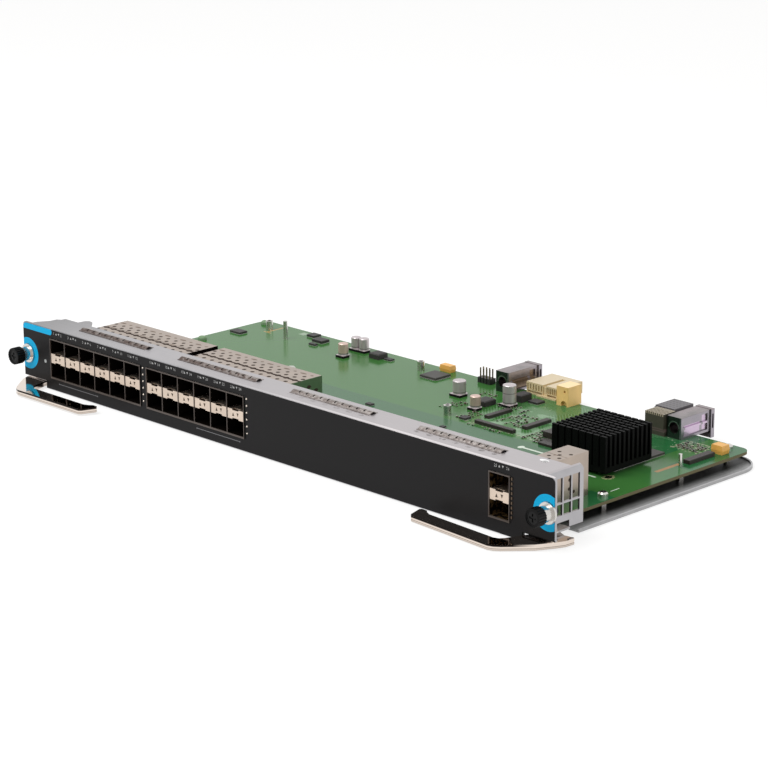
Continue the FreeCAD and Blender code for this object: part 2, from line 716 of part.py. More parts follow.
def make_guide_module(x):
    """Guide block for a backplane pin: through bore, side ribs and a rear flange behind the board."""
    y = guide_module_y
    top = board_top + guide_module_h
    rear = y + guide_module_l
    body = box(x, x + guide_module_w, y, rear, board_top, top)
    flange = box(x - 0.2, x + guide_module_w + 0.9, rear - guide_flange_t, rear, guide_flange_foot, top + 0.2)
    pocket = [box(x + guide_module_w - guide_rib_t, x + guide_module_w + 1, y + 1.8, rear - guide_flange_t - 2.2,
                  low, high) for low, high in ((board_top + 1.4, board_top + 5.4), (board_top + 6.6, top - 1.6))]
    back_pocket = box(x + guide_module_w - 1.4, x + guide_module_w + 2, rear - guide_flange_t + 0.9,
                      rear - 0.9, board_top + 1.6, top - 2.6)
    bore = rod(x + guide_module_w / 2, y - 1, board_top + guide_module_h / 2, guide_bore_r,
               guide_module_l + 2, Vec(0, 1, 0))
    return cut(fuse(body, flange), bore, back_pocket, *pocket)


def make_signal_connector():
    """Board half of the signal connector: a housing with upright ribs across its front and top."""
    x0, x1 = signal_x
    top = board_top + signal_h
    housing = box(x0, x1, signal_y, signal_y + signal_l, board_top, top)
    pitch = (x1 - x0) / signal_ribs
    gaps = [box(x0 + pitch * k - 0.3, x0 + pitch * k + 0.3, signal_y - 1, signal_y + signal_l - 3.0,
                top - 1.0, top + 1) for k in range(1, signal_ribs)]
    step = box(x0 - 1, x1 + 1, signal_y - 1, signal_y + 0.8, board_top - 1, board_top + 4.0)
    return cut(housing, step, *gaps)


def make_signal_shroud():
    """Mating half behind it: a block with rows of contact cavities in its rear face."""
    x0, x1 = signal_rear_x
    y0 = signal_y + signal_l
    y1 = y0 + signal_rear_l
    top = board_top + signal_rear_h
    block = box(x0, x1, y0, y1, board_top, top)
    pitch_x = (x1 - x0) / contact_rows
    pitch_z = (top - board_top) / contact_rows
    cells = [box(x0 + pitch_x * (i + 0.5) - 0.7, x0 + pitch_x * (i + 0.5) + 0.7, y1 - 4.0, y1 + 1,
                 board_top + pitch_z * (j + 0.5) - 0.7, board_top + pitch_z * (j + 0.5) + 0.7)
             for i in range(contact_rows) for j in range(contact_rows)]
    relief = box(x0 - 1, x1 + 1, y0 - 1, y0 + 0.9, top - 0.8, top + 1)
    return cut(block, relief, *cells)


def make_power_left():
    """Lower power connector: two units on one foot, with comb fronts and blade slots in the rear."""
    x0, x1 = power_left_x
    y0, y1 = power_left_y
    top = board_top + power_left_h
    ledge_d, ledge_h = power_ledge
    block = box(x0, x1, y0, y1, board_top, top)
    ledge = box(x0 + power_unit_w * 0.7, x1, y0 - ledge_d, y0, board_top, board_top + ledge_h)
    second = x0 + power_unit_w + power_groove_w
    groove = [box(x0 + power_unit_w, second, y0 + 0.6, y1 - 5.0, top - 1.2, top + 1),
              box(x0 + power_unit_w, second, y0 - 0.01, y0 + 0.6, board_top + ledge_h, top + 1)]
    comb = []
    for start, width in ((x0, power_unit_w), (second, x1 - second)):
        pitch = width / power_slots
        comb += [box(start + pitch * (k + 0.5) - slot_w / 2, start + pitch * (k + 0.5) + slot_w / 2,
                     y0 - 1, y0 + 1.0, top - 4.6, top - 1.0) for k in range(power_slots)]
        comb.append(box(start + 0.8, start + width - 0.8, y0 - 1, y0 + 1.6,
                        board_top + ledge_h, board_top + ledge_h + 1.2))
        comb += [box(start + width * f - blade_w / 2, start + width * f + blade_w / 2,
                     y1 - blade_depth, y1 + 1, board_top + 1.4, top - 1.4) for f in (0.3, 0.7)]
    return cut(fuse(block, ledge), *groove, *comb)


def make_power_right():
    """Taller power connector at the board's edge, with a pilot hole and a mouth over its solder tails."""
    x0, x1 = power_right_x
    y0, y1 = power_right_y
    top = board_top + power_right_h
    block = box(x0, x1, y0, y1, board_top, top)
    block = block.makeFillet(power_corner_r, upright_edges(block, x1, y0))
    middle = (x0 + x1) / 2
    pilot = rod(x1 - pilot_inset, y0 - 1, top - 3.0, pilot_r, 4.0, Vec(0, 1, 0))
    mouth = rod(x1 - mouth_inset, y0 - 1, board_top + 1.0, mouth_r, 3.0, Vec(0, 1, 0))
    blade = box(middle - blade_w / 2, middle + blade_w / 2, y1 - blade_depth, y1 + 1,
                board_top + 1.4, top - 3.0)
    return cut(block, pilot, mouth, blade)


def make_capacitor(x, y, diameter, height):
    """Aluminium can on a square plastic foot with two cut corners."""
    half = diameter / 2 + can_base_extra
    bevel = half * 0.45
    foot = plate(((x - half, y - half), (x + half, y - half), (x + half, y + half - bevel),
                  (x + half - bevel, y + half), (x - half + bevel, y + half), (x - half, y + half - bevel)),
                 board_top, board_top + can_base_h)
    low = board_top + can_base_h
    radius = diameter / 2
    can = rod(x, y, low, radius, height - can_base_h)
    rim = [e for e in can.Edges if abs(e.BoundBox.ZMin - (board_top + height)) < 1e-4
           and abs(e.BoundBox.ZMax - (board_top + height)) < 1e-4]
    return foot, can.makeChamfer(can_rim, rim)


def make_block(x, y, width, depth, height, bevel=0.25):
    """Moulded body with bevelled top edges, on the board."""
    body = box(x, x + width, y, y + depth, board_top, board_top + height)
    rim = [e for e in body.Edges if abs(e.BoundBox.ZMin - (board_top + height)) < 1e-4]
    return body.makeChamfer(bevel, rim)


def make_tantalum(x, y, width, depth, height):
    """Moulded capacitor whose sides slope from a middle parting line."""
    middle = height * 0.45
    slope = 0.3
    levels = ((board_top, slope), (board_top + middle, 0.0), (board_top + height, slope))
    wires = [Part.makePolygon([at(x + s, y + s, z), at(x + width - s, y + s, z),
                               at(x + width - s, y + depth - s, z), at(x + s, y + depth - s, z),
                               at(x + s, y + s, z)]) for z, s in levels]
    return Part.makeLoft(wires, True, True)


def make_square_chip():
    """Square package with gull-wing leads along its four sides."""
    x, y, side, height = square_chip
    body = make_block(x, y, side, side, height, 0.3)
    pitch = side / (square_chip_pins + 1)
    lead = 0.6
    reach = 1.2
    leads = []
    for k in range(1, square_chip_pins + 1):
        a = x + pitch * k
        b = y + pitch * k
        leads.append(box(a - lead / 2, a + lead / 2, y - reach, y, board_top, board_top + 0.3))
        leads.append(box(a - lead / 2, a + lead / 2, y + side, y + side + reach, board_top, board_top + 0.3))
        leads.append(box(x - reach, x, b - lead / 2, b + lead / 2, board_top, board_top + 0.3))
        leads.append(box(x + side, x + side + reach, b - lead / 2, b + lead / 2, board_top, board_top + 0.3))
    return body.fuse(leads)


def make_header():
    """Two-row pin header: notched base and square pins."""
    x, y = header_at
    width = header_columns * header_pitch
    depth = header_rows * header_pitch
    base = box(x, x + width, y, y + depth, board_top, board_top + header_base_h)
    notches = [box(x + header_pitch * k - 0.35, x + header_pitch * k + 0.35, y - 1, y + 0.4,
                   board_top - 1, board_top + header_base_h + 1) for k in range(1, header_columns)]
    pins = []
    for i in range(header_columns):
        for j in range(header_rows):
            a = x + header_pitch * (i + 0.5) - header_pin / 2
            b = y + header_pitch * (j + 0.5) - header_pin / 2
            pins.append(box(a, a + header_pin, b, b + header_pin, board_top, board_top + header_pin_top))
    return cut(base, *notches).fuse(pins)


def make_board():
    """Circuit board with rounded corners and a hole at each standoff."""
    x0, x1 = board_x
    y0, y1 = board_y
    board = box(x0, x1, y0, y1, board_bottom, board_top)
    corners = upright_edges(board, x0, y1) + upright_edges(board, x1, y1)
    corners += upright_edges(board, x0, y0) + upright_edges(board, x1, y0)
    board = board.makeFillet(board_corner_r, corners)
    return cut(board, *[rod(x, y, board_bottom - 1, screw_hole_r, board_t + 2) for x, y in standoff_at])


def make_standoff(x, y):
    """Six-sided pillar between the tray and the board, with a tapped hole."""
    corners = [(x + standoff_r * math.cos(math.pi * k / 3), y + standoff_r * math.sin(math.pi * k / 3))
               for k in range(6)]
    return cut(plate(corners, tray_t, board_bottom),
               rod(x, y, tray_t + shank_start, screw_hole_r - shank_play, board_bottom))


def make_board_screw(x, y):
    """Pan-head screw through the board into its standoff."""
    head = rod(x, y, board_top, screw_head_r, screw_head_h)
    rim = [e for e in head.Edges if abs(e.BoundBox.ZMin - (board_top + screw_head_h)) < 1e-4
           and abs(e.BoundBox.ZMax - (board_top + screw_head_h)) < 1e-4]
    head = head.makeChamfer(screw_head_bevel, rim)
    shank = rod(x, y, tray_t + shank_start, screw_hole_r - shank_play, board_top - tray_t - shank_start)
    return fuse(head, shank)


def make_posts():
    """Round spacers and two plain pins that stand on the board."""
    posts = [cut(rod(x, y, board_top, post_r, post_h),
                 rod(x, y, board_top + 1, post_bore_r, post_h)) for x, y in post_at]
    posts.append(rod(*tall_pin_at, board_top, tall_pin_r, tall_pin_h))
    posts.append(rod(*short_pin_at, board_top, short_pin_r, short_pin_h))
    return posts


# ---- build -------------------------------------------------------------------------------------------
os.makedirs("parts", exist_ok=True)

save("front_panel", make_front_panel())
save("panel_overlay", make_overlay())
save("bottom_tray", make_tray())
save("gasket_strips", *[make_strip(x0, x1) for x0, x1 in strip_x])
save("tray_rivets", *[make_rivet(x) for x in rivet_at])
save("circuit_board", make_board())
save("board_standoffs", *[make_standoff(x, y) for x, y in (*standoff_at, short_pin_at)])
save("board_screws", *[make_board_screw(x, y) for x, y in standoff_at])
save("board_posts", *make_posts())

for name, x0, columns in cages:
    save(name + "_cage_shell", make_cage_shell(x0, columns))
    save(name + "_cage_floor", make_cage_floor(x0, columns))
    if columns > 1:
        save(name + "_cage_dividers", *make_dividers(x0, columns))
    save(name + "_cage_shelves", *[make_shelf(x0, c, columns) for c in range(columns)])
    save(name + "_light_guides", *[g for c in range(columns) for g in make_light_guides(x0, c)])
    save(name + "_port_connectors", *[make_port_connector(x0, c) for c in range(columns)])
    save(name + "_spring_frame", make_spring_frame(x0, columns))

lever = make_lever()
turned_lever = mirrored(lever)
turned_lever.rotate(at(panel_w - pivot_inset, pivot_y), Vec(0, 0, 1), -right_lever_turn)
turned_lever.translate(Vec(0, 0, -right_lever_drop))
save("left_ejector", lever)
save("right_ejector", turned_lever)
save("left_ejector_bracket", make_lever_bracket())
save("right_ejector_bracket", mirrored(make_lever_bracket()))
save("left_ejector_pivot", make_pivot())
save("right_ejector_pivot", mirrored(make_pivot(right_lever_drop)))

for side, x in (("left", screw_inset), ("right", panel_w - screw_inset)):
    save(side + "_screw_ferrule", make_ferrule(x))
    save(side + "_captive_screw", make_captive_screw(x))
    save(side + "_screw_knob", make_knob(x))
    save(side + "_screw_washer", make_washer(x))
    save(side + "_screw_spring", make_spring(x))

save("heat_sink", make_heat_sink())
save("switch_chip", make_switch_chip())
save("left_guide_module", make_guide_module(guide_module_x[0]))
save("right_guide_module", make_guide_module(guide_module_x[1]))
save("signal_connector", make_signal_connector())
save("signal_connector_shroud", make_signal_shroud())
save("left_power_connector", make_power_left())
save("right_power_connector", make_power_right())
save("can_capacitors", *[piece for c in capacitors for piece in make_capacitor(*c)])
save("power_inductors", *[make_block(*size, 0.6) for size in inductors])
save("tantalum_capacitors", *[make_tantalum(*size) for size in tantalums])
save("pin_header", make_header())
save("square_chip", make_square_chip())
save("small_chips", *[make_block(*size) for size in small_chips])
save("filter_strips", *[make_block(*size) for size in filter_strips])
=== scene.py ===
"""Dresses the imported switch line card: finishes for every solid, the small parts of the circuit
board, the print on the front panel, and the stage with its light and camera."""

import math
from functools import reduce

import bpy
import numpy as np
from bpy.props import FloatProperty, FloatVectorProperty, IntProperty, PointerProperty
from mathutils import Matrix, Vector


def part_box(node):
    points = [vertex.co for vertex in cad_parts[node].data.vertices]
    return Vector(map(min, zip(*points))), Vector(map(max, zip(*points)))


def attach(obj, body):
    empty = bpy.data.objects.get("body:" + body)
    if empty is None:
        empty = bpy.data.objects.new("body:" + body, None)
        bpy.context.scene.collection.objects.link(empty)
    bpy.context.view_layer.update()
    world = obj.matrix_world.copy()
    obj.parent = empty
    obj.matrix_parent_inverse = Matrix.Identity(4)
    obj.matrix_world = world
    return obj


bl_info = {
    "name": "Line Card Dresser",
    "version": (1, 0, 0),
    "blender": (4, 5, 0),
    "location": "View3D > Sidebar > Line Card",
    "description": "Dresses a packed switch line card and sets up its stage",
    "category": "Object",
}

bpy.ops.wm.read_factory_settings(use_empty=True)
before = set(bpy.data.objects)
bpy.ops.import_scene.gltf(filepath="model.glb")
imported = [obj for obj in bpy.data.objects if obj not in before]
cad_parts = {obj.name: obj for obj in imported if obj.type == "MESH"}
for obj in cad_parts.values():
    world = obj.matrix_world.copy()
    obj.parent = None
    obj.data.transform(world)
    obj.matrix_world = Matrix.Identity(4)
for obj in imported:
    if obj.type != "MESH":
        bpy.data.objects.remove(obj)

MM = 0.001
PANEL_LEFT, FACE = (round(v / MM, 3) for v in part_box("front_panel")[0][:2])   # in the card's frame, mm

# Places below are in drawing millimetres: across from the panel's left end, back from its face and up
# from the tray's underside. A rectangle is left, right, front, back.


def corners(node):
    """A node's lowest and highest corner, in drawing millimetres."""
    return [tuple(round(v / MM - start, 3) for v, start in zip(corner, (PANEL_LEFT, FACE, 0.0)))
            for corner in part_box(node)]


def middle(node):
    """The place half-way between a node's corners."""
    return tuple(round(v, 3) for v in np.mean(corners(node), axis=0))


PANEL_WIDTH, _, PANEL_TOP = corners("front_panel")[1]
FLANGE_Z = PANEL_TOP - 0.6                        # anything higher on the panel is its top flange
FILM_Y = corners("panel_overlay")[0][1]           # front of the printed film
BOARD_TOP = corners("circuit_board")[1][2]
SCREWS = [middle(side + "_captive_screw") for side in ("left", "right")]
STRIPS = ((43.8, 106.0), (136.0, 203.0), (232.0, 295.0), (331.0, 391.0))      # ends of the gasket strips
RULES = ((34.7, 71.7), (163.0, 200.0))            # ends of the printed rules under the ports

LEVER_FOOT, RIGHT_LEVER_FOOT = (corners(side + "_ejector")[0][2] for side in ("left", "right"))
LEVER_THICKNESS = corners("left_ejector")[1][2] - LEVER_FOOT

PITCH = 14.25                                     # from one column of ports to the next
BLOCKS = [(corners(block + "_cage_shell")[0][0], columns)                     # left end and columns
          for block, columns in (("left", 6), ("right", 6), ("uplink", 1))]
LEFT_END, RIGHT_END, UPLINK_END = (start + columns * PITCH for start, columns in BLOCKS)
CAGE_REAR, CAGE_TOP = corners("left_cage_shell")[1][1:]
CAGE_SEAMS = (40.6, 42.0)                         # joint of the covers on the two wide cages, back
VENT_ROWS = ((1.0, -5.2, 1.3), (5.2, 4.4, 1.3), (1.6, 8.8, 1.2))      # across, back from the seam, radius
TAB_ROW = 13.0                                    # brown tabs, back from the seam
UPLINK_TOP_HOLES = ((398.0, 39.2), (401.3, 35.2), (397.4, 48.0), (401.4, 43.7), (405.0, 39.4), (405.3, 48.1))
UPLINK_END_HOLES = ((44.9, 19.8), (52.7, 19.6), (44.6, 14.9), (52.8, 14.6), (48.3, 12.7))      # back, up

COPPER_PLANES = ((405, 440, 128, 190), (352, 392, 132, 190), (404, 440, 40, 66))
PRINTED_STROKES = ((326, 343.6, 94.9, 96.6), (383, 391, 83.6, 85.0), (383.5, 388, 80.9, 81.6),
                   (411.8, 412.5, 72, 79))
GUIDES = [(corners(side + "_guide_module")[0][0], tone)                       # left end, painted reflection in the pockets
          for side, tone in (("left", (0.27, 0.20, 0.14)), ("right", (0.66, 0.52, 0.68)))]
BORE_ACROSS = 5.35       # guide bores, across from the block's left end
BORE_HEIGHT = 6.3        # guide bores, up from the board

# Fields of small soldered parts: a rectangle, and their spacing across and back.
PART_FIELDS = (
    (316, 333, 108, 128, 3.2, 2.1), (284, 302, 122, 141, 3.4, 3.0), (387, 403, 156, 168, 2.4, 2.0),
    (262, 270, 112, 128, 3.0, 3.2), (262, 284, 143, 152, 3.4, 3.4), (312, 330, 150, 170, 4.0, 3.4),
    (336, 352, 134, 156, 2.8, 2.8), (240, 256, 150, 160, 4.4, 4.0), (276, 300, 106, 109, 3.4, 3.0),
    (240, 250, 120, 134, 3.4, 3.4), (330, 346, 130, 146, 3.6, 3.0))

CONTACT_COLUMNS = (LEFT_END + 2.5, RIGHT_END + 2.3)                           # domed contacts, across
FINGERS_X = (UPLINK_END + 1.05, UPLINK_END + 1.95)    # sides of the finger contacts at the uplink pair
PRINT_STANDS = 0.02      # the white print stands this far before the film


# ---- settings ------------------------------------------------------------------------------------

def colour(name, value, about):
    """A colour setting, linear."""
    return FloatVectorProperty(name=name, description=about, subtype="COLOR", size=3, min=0, max=1,
                               default=value)


class CardFinish(bpy.types.PropertyGroup):
    """Colours of the card's finishes, linear."""
    sheet: colour("Galvanised sheet", (0.45, 0.44, 0.455), "Front panel's plated sheet")
    cage: colour("Cage plating", (0.46, 0.385, 0.33), "Nickel plating of the port cages")
    film: colour("Panel film", (0.0085, 0.008, 0.0085), "Printed film on the panel's face")
    accent: colour("Panel accent", (0.0, 0.37, 0.66), "Corner label and the rings round the screws")
    mask: colour("Solder mask", (0.040, 0.146, 0.032), "Board's solder mask on bare laminate")
    mask_deep: colour("Solder mask over copper", (0.018, 0.115, 0.036), "Solder mask over copper planes")
    mask_pale: colour("Pale tracks", (0.20, 0.34, 0.20), "Tracks and pale pads under the solder mask")
    laminate: colour("Board edge", (0.12, 0.105, 0.055), "Cut edge of the board's laminate")
    nickel: colour("Polished nickel", (0.76, 0.66, 0.58), "Plating of the ejector levers")
    cream: colour("Cream moulding", (0.70, 0.56, 0.33), "Left power connector")
    orange: colour("Orange moulding", (0.80, 0.42, 0.09), "Tantalum capacitors")


class CardStudio(bpy.types.PropertyGroup):
    """Camera and light."""
    place: FloatVectorProperty(name="Camera place", description="Camera's place in the card's frame", size=3,
                               subtype="TRANSLATION", unit="LENGTH", default=(1.0394, -1.0104, 0.4447))
    azimuth: FloatProperty(name="Camera azimuth", description="Camera's turn to the left of straight back",
                           subtype="ANGLE", default=math.radians(45.759))
    elevation: FloatProperty(name="Camera elevation", description="Camera's tilt below level",
                             subtype="ANGLE", default=math.radians(16.211))
    roll: FloatProperty(name="Camera roll", description="Camera's turn about its own axis", subtype="ANGLE",
                        default=math.radians(-0.4))
    lens: FloatProperty(name="Lens", description="Focal length for a sensor 36 mm wide", unit="CAMERA",
                        default=122.1)
    dome: FloatProperty(name="Dome light", description="Strength of the light from all round", min=0,
                        subtype="FACTOR", soft_max=2, default=0.70)
    key: FloatProperty(name="Key light", description="Power of the large light over the front",
                       subtype="POWER", unit="POWER", default=20.0)
    fill: FloatProperty(name="Fill light", description="Power of the light at the right end",
                        subtype="POWER", unit="POWER", default=5.0)
    seed: IntProperty(name="Seed", description="Seed of the small parts' places", subtype="UNSIGNED",
                      default=7)


# ---- shader maths --------------------------------------------------------------------------------

def maths(operation, swapped=False):
    """A method of Val that adds one maths node; swapped puts the other value first."""
    def method(self, *others):
        """One maths node on this number and the others."""
        return self.math(operation, *((*others, self) if swapped else (self, *others)))
    return method


class Val:
    """A number in a shader: the usual signs and the methods below add maths nodes."""

    def __init__(self, tree, out):
        self.tree, self.out = tree, out

    def math(self, operation, *values):
        """A number worked out by one maths node."""
        node = self.tree.nodes.new("ShaderNodeMath")
        node.operation = operation
        for socket, value in zip(node.inputs, values):
            feed(self.tree, socket, value)
        return Val(self.tree, node.outputs[0])

    __add__ = __radd__ = maths("ADD")
    __sub__ = maths("SUBTRACT")
    __rsub__ = maths("SUBTRACT", swapped=True)
    __mul__ = __rmul__ = maths("MULTIPLY")
    __truediv__ = maths("DIVIDE")
    __lt__ = maths("LESS_THAN")
    __gt__ = maths("GREATER_THAN")
    __abs__ = maths("ABSOLUTE")
    least = maths("MINIMUM")
    most = maths("MAXIMUM")
    floor = maths("FLOOR")

    def wrap(self, period):
        """The distance to the nearest multiple of the period, with its sign."""
        return self - (self / period + 0.5).floor() * period

    def clamp(self):
        """The number, held between 0 and 1."""
        return self.most(0.0).least(1.0)


def either(masks):
    """1 wherever any of the masks is 1."""
    return reduce(Val.most, masks)


def shaded(base, share):
    """The colour, darkened to a share of itself."""
    return tuple(share * c for c in base)


def feed(tree, socket, value):
    """Puts a value, or a link from another node, into a socket."""
    if isinstance(value, Val):
        tree.links.new(value.out, socket)
    elif hasattr(socket.default_value, "__len__") and len(value) == 3 and len(socket.default_value) == 4:
        socket.default_value = (*value, 1.0)
    else:
        socket.default_value = value


class Shade:
    """One material, with places on the card in millimetres: x across from the panel's left end,
    y back from its face, z up from the tray."""

    def __init__(self, name, base, rough, metal=0.0, **constants):
        self.material = bpy.data.materials.new(name)
        self.material.use_nodes = True
        self.tree = self.material.node_tree
        self.skin = self.tree.nodes["Principled BSDF"]
        self.put("Base Color", base)
        self.put("Roughness", rough)
        self.put("Metallic", metal)
        for key, value in constants.items():
            self.put(key.replace("_", " ").title().replace("Ior", "IOR"), value)
        where = self.node("ShaderNodeTexCoord").outputs["Object"]
        split = self.node("ShaderNodeSeparateXYZ", {"Vector": Val(self.tree, where)})
        self.place = Val(self.tree, where)
        self.x = Val(self.tree, split.outputs[0]) * 1000.0 - PANEL_LEFT
        self.y = Val(self.tree, split.outputs[1]) * 1000.0 - FACE
        self.z = Val(self.tree, split.outputs[2]) * 1000.0

    def node(self, kind, inputs=None, **settings):
        """A new node, with its settings and the values or links of its sockets."""
        node = self.tree.nodes.new(kind)
        for key, value in settings.items():
            setattr(node, key, value)
        for key, value in (inputs or {}).items():
            feed(self.tree, node.inputs[key], value)
        return node

    def put(self, socket, value):
        """Sets or links a socket of the surface."""
        feed(self.tree, self.skin.inputs[socket], value)

    def noise(self, size, detail=3.0, stretch=(1, 1, 1)):
        """Cloudy noise, from 0 to 1, whose features are about size millimetres."""
        scaled = self.node("ShaderNodeVectorMath", {0: self.place, 1: stretch}, operation="MULTIPLY")
        node = self.node("ShaderNodeTexNoise", {"Vector": Val(self.tree, scaled.outputs[0]),
                                                "Scale": 1000.0 / size, "Detail": detail})
        return Val(self.tree, node.outputs["Fac"])

    def cells(self, size):
        """Distance to the nearest of scattered points about size millimetres apart."""
        node = self.node("ShaderNodeTexVoronoi", {"Vector": self.place, "Scale": 1000.0 / size})
        return Val(self.tree, node.outputs["Distance"])

    def mix(self, factor, first, second):
        """The first colour where factor is 0, the second where it is 1."""
        node = self.node("ShaderNodeMix", data_type="RGBA")
        feed(self.tree, node.inputs[0], factor)
        feed(self.tree, node.inputs[6], first)
        feed(self.tree, node.inputs[7], second)
        return Val(self.tree, node.outputs[2])

    def ramp(self, value, low, high):
        """0 below low, 1 above high, straight between."""
        return ((value - low) / (high - low)).clamp()

    def bump(self, height, depth, strength=1.0):
        """Tilts the surface by a height from 0 to 1 that stands for depth millimetres."""
        node = self.node("ShaderNodeBump", {"Height": height, "Distance": depth * MM, "Strength": strength})
        self.put("Normal", Val(self.tree, node.outputs[0]))

    def box(self, x0, x1, y0, y1, across=None, along=None):
        """1 inside a rectangle of the card's plan, or of any two values."""
        a = self.x if across is None else across
        b = self.y if along is None else along
        return (abs(a - (x0 + x1) / 2) < (x1 - x0) / 2) * (abs(b - (y0 + y1) / 2) < (y1 - y0) / 2)

    def boxes(self, rectangles, across=None, along=None):
        """1 inside any of the rectangles."""
        return either(self.box(*rectangle, across, along) for rectangle in rectangles)

    def disc(self, a, b, radius):
        """1 within radius of the place where both values are 0."""
        return (a * a + b * b) < radius * radius


# ---- meshes from arrays --------------------------------------------------------------------------

def place(points):
    """Places in drawing millimetres, as the card's frame in metres."""
    return (np.asarray(points, float) + (PANEL_LEFT, FACE, 0.0)) * MM


CORNERS = np.array([(x, y, z) for z in (0, 1) for y in (0, 1) for x in (0, 1)], float)
SIDES = np.array([(0, 2, 3, 1), (4, 5, 7, 6), (0, 1, 5, 4), (2, 6, 7, 3), (0, 4, 6, 2), (1, 3, 7, 5)])


def piece(name, points, faces, materials, kinds=None):
    """A mesh object of the arrays, in drawing millimetres, that rides on the card and takes the given
    materials; kinds picks one of the materials for each face."""
    mesh = bpy.data.meshes.new(name)
    mesh.from_pydata(place(points), [], faces if isinstance(faces, list) else faces.tolist())
    for material in materials:
        mesh.materials.append(material)
    if kinds is not None:
        mesh.polygons.foreach_set("material_index", np.asarray(kinds, np.int32))
    mesh.update()
    thing = bpy.data.objects.new(name, mesh)
    bpy.context.scene.collection.objects.link(thing)
    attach(thing, "card")


def blocks(low, high):
    """Boxes between the rows of low and high: corner = low + (0 or 1 each way) * (high - low).
    Returns the points and the faces."""
    low, high = np.asarray(low, float), np.asarray(high, float)
    points = low[:, None, :] + CORNERS[None] * (high - low)[:, None, :]
    faces = SIDES[None] + 8 * np.arange(len(low))[:, None, None]
    return points.reshape(-1, 3), faces.reshape(-1, 4)


def domes(centres, radius, sides=12, rings=4):
    """Half balls bulging forwards from the centres: ring t, from 0 to a right angle, is a circle of
    radius*cos(t) that stands radius*sin(t) before the centre. Returns the points and the faces."""
    t = np.linspace(0, np.pi / 2 * 0.98, rings)[:, None]
    a = np.linspace(0, 2 * np.pi, sides, endpoint=False)[None]
    ball = np.stack([np.cos(t) * np.cos(a), -np.sin(t) + 0 * a, np.cos(t) * np.sin(a)], -1).reshape(-1, 3)
    points = (np.asarray(centres, float)[:, None] + radius * ball[None]).reshape(-1, 3)
    ring = np.arange(rings - 1)[:, None] * sides
    here = np.arange(sides)[None]
    beside = (here + 1) % sides
    quads = np.stack([ring + here, ring + beside, ring + sides + beside, ring + sides + here], -1)
    faces = quads.reshape(-1, 4)[None] + rings * sides * np.arange(len(centres))[:, None, None]
    return points, faces.reshape(-1, 4)


# ---- finishes ------------------------------------------------------------------------------------

def sheet_finish(base):
    """Front panel's plated sheet: long grain and faint clouds. A painted highlight lies along the face's top
    edge, growing towards the right; the flange is warmer there and darker at its left end, with painted
    shadows of the gasket fingers before each gasket, painted shade in the notch by the right lever and a
    painted glint at a hole."""
    s = Shade("sheet_bright", base, 0.34, 1.0)
    grain = s.noise(0.9, 2.0, (0.02, 1, 1))
    cloud = s.noise(14.0, 3.0)
    flange = s.z > FLANGE_Z
    bend = 1.6
    tone = s.mix(s.ramp(cloud, 0.3, 0.75), shaded(base, 0.86), base)
    # painted highlight along the face's top bend, growing towards the right
    tone_and_sheen = s.ramp(s.x, 150.0, 320.0) * (s.y < 1.5) * flange
    tone = s.mix(tone_and_sheen, tone, (0.74, 0.70, 0.71))
    warm = s.ramp(s.x, 20.0, 330.0) * (s.y > 1.5) * flange
    tone = s.mix(warm, tone, (0.50, 0.47, 0.48))
    # darker towards the flange's left end
    darker_left = s.ramp(75.0 - s.x, 0.0, 60.0) * (s.z > PANEL_TOP - bend)
    tone = s.mix(darker_left * 0.8, tone, (0.25, 0.245, 0.25))
    # painted shadows of the gasket fingers on the flange before the strips, stronger to the right
    gasket_shade = gasket_wear(s) * s.ramp(s.x, 200.0, 340.0)
    tone = s.mix(gasket_shade * 0.7, tone, (0.10, 0.085, 0.08))
    # painted shade, near black, on the sheet in the notch by the right lever
    notch = (s.z < 5.2) * (s.x > 400.0) * (s.y < 0.2)
    tone = s.mix(notch, tone, (0.012, 0.012, 0.012))
    # painted glint, pale and not metallic, at a hole in the top flange
    painted_glint = s.disc((s.x - 415.0) * 0.5, s.y - 17.0, 1.5) * (s.z > PANEL_TOP - bend)
    s.put("Base Color", s.mix(painted_glint, tone, (0.86, 0.86, 0.86)))
    s.put("Metallic", 1.0 - painted_glint)
    s.put("Roughness", 0.16 * grain + 0.12 * cloud + 0.22)
    s.bump(grain, 0.02, 0.5)
    return s.material


def gasket_wear(s):
    """Painted shadows of the fingers: spots along the front of each gasket strip, one to every finger."""
    back = (s.y - 6.6) * 1.15
    spots = either(s.disc((s.x - x0 - 3.0).wrap(9.4) / 1.5, back, 2.2 / 1.5) * s.box(x0, x1, 0, 30)
                   for x0, x1 in STRIPS)
    return spots * s.ramp(s.noise(2.0, 3.0), 0.40, 0.55) * (s.z > FLANGE_Z)


def gasket_finish():
    """Spring strips: a mottled painted brown shade over the front half, most on the left ones, with small
    dark dots along the rear."""
    s = Shade("gasket_spring", (0.42, 0.38, 0.36), 0.36, 1.0)
    mottle = s.noise(2.3, 4.0)
    front = s.ramp(13.6 - s.y, 0.0, 1.6)
    left = s.ramp(s.x, 240.0, 150.0)
    tone = s.mix(s.ramp(s.noise(9.0, 2.0), 0.3, 0.7), (0.36, 0.33, 0.31), (0.47, 0.43, 0.41))
    # painted brown shade over the crinkled front half of the fingers, most on the left strips
    gasket_shade = s.ramp(mottle, 0.40, 0.58) * (0.55 + 0.15 * left) + 0.15 + 0.45 * left
    tone = s.mix(front * gasket_shade.clamp(), tone, (0.115, 0.085, 0.075))
    dots = s.disc((s.x - 1.2).wrap(4.75), s.y - 14.6, 0.75)
    s.put("Base Color", s.mix(dots * 0.8, tone, (0.05, 0.045, 0.04)))
    s.put("Roughness", 0.2 * mottle + 0.26)
    s.bump(mottle * front, 0.35, 0.8)
    return s.material


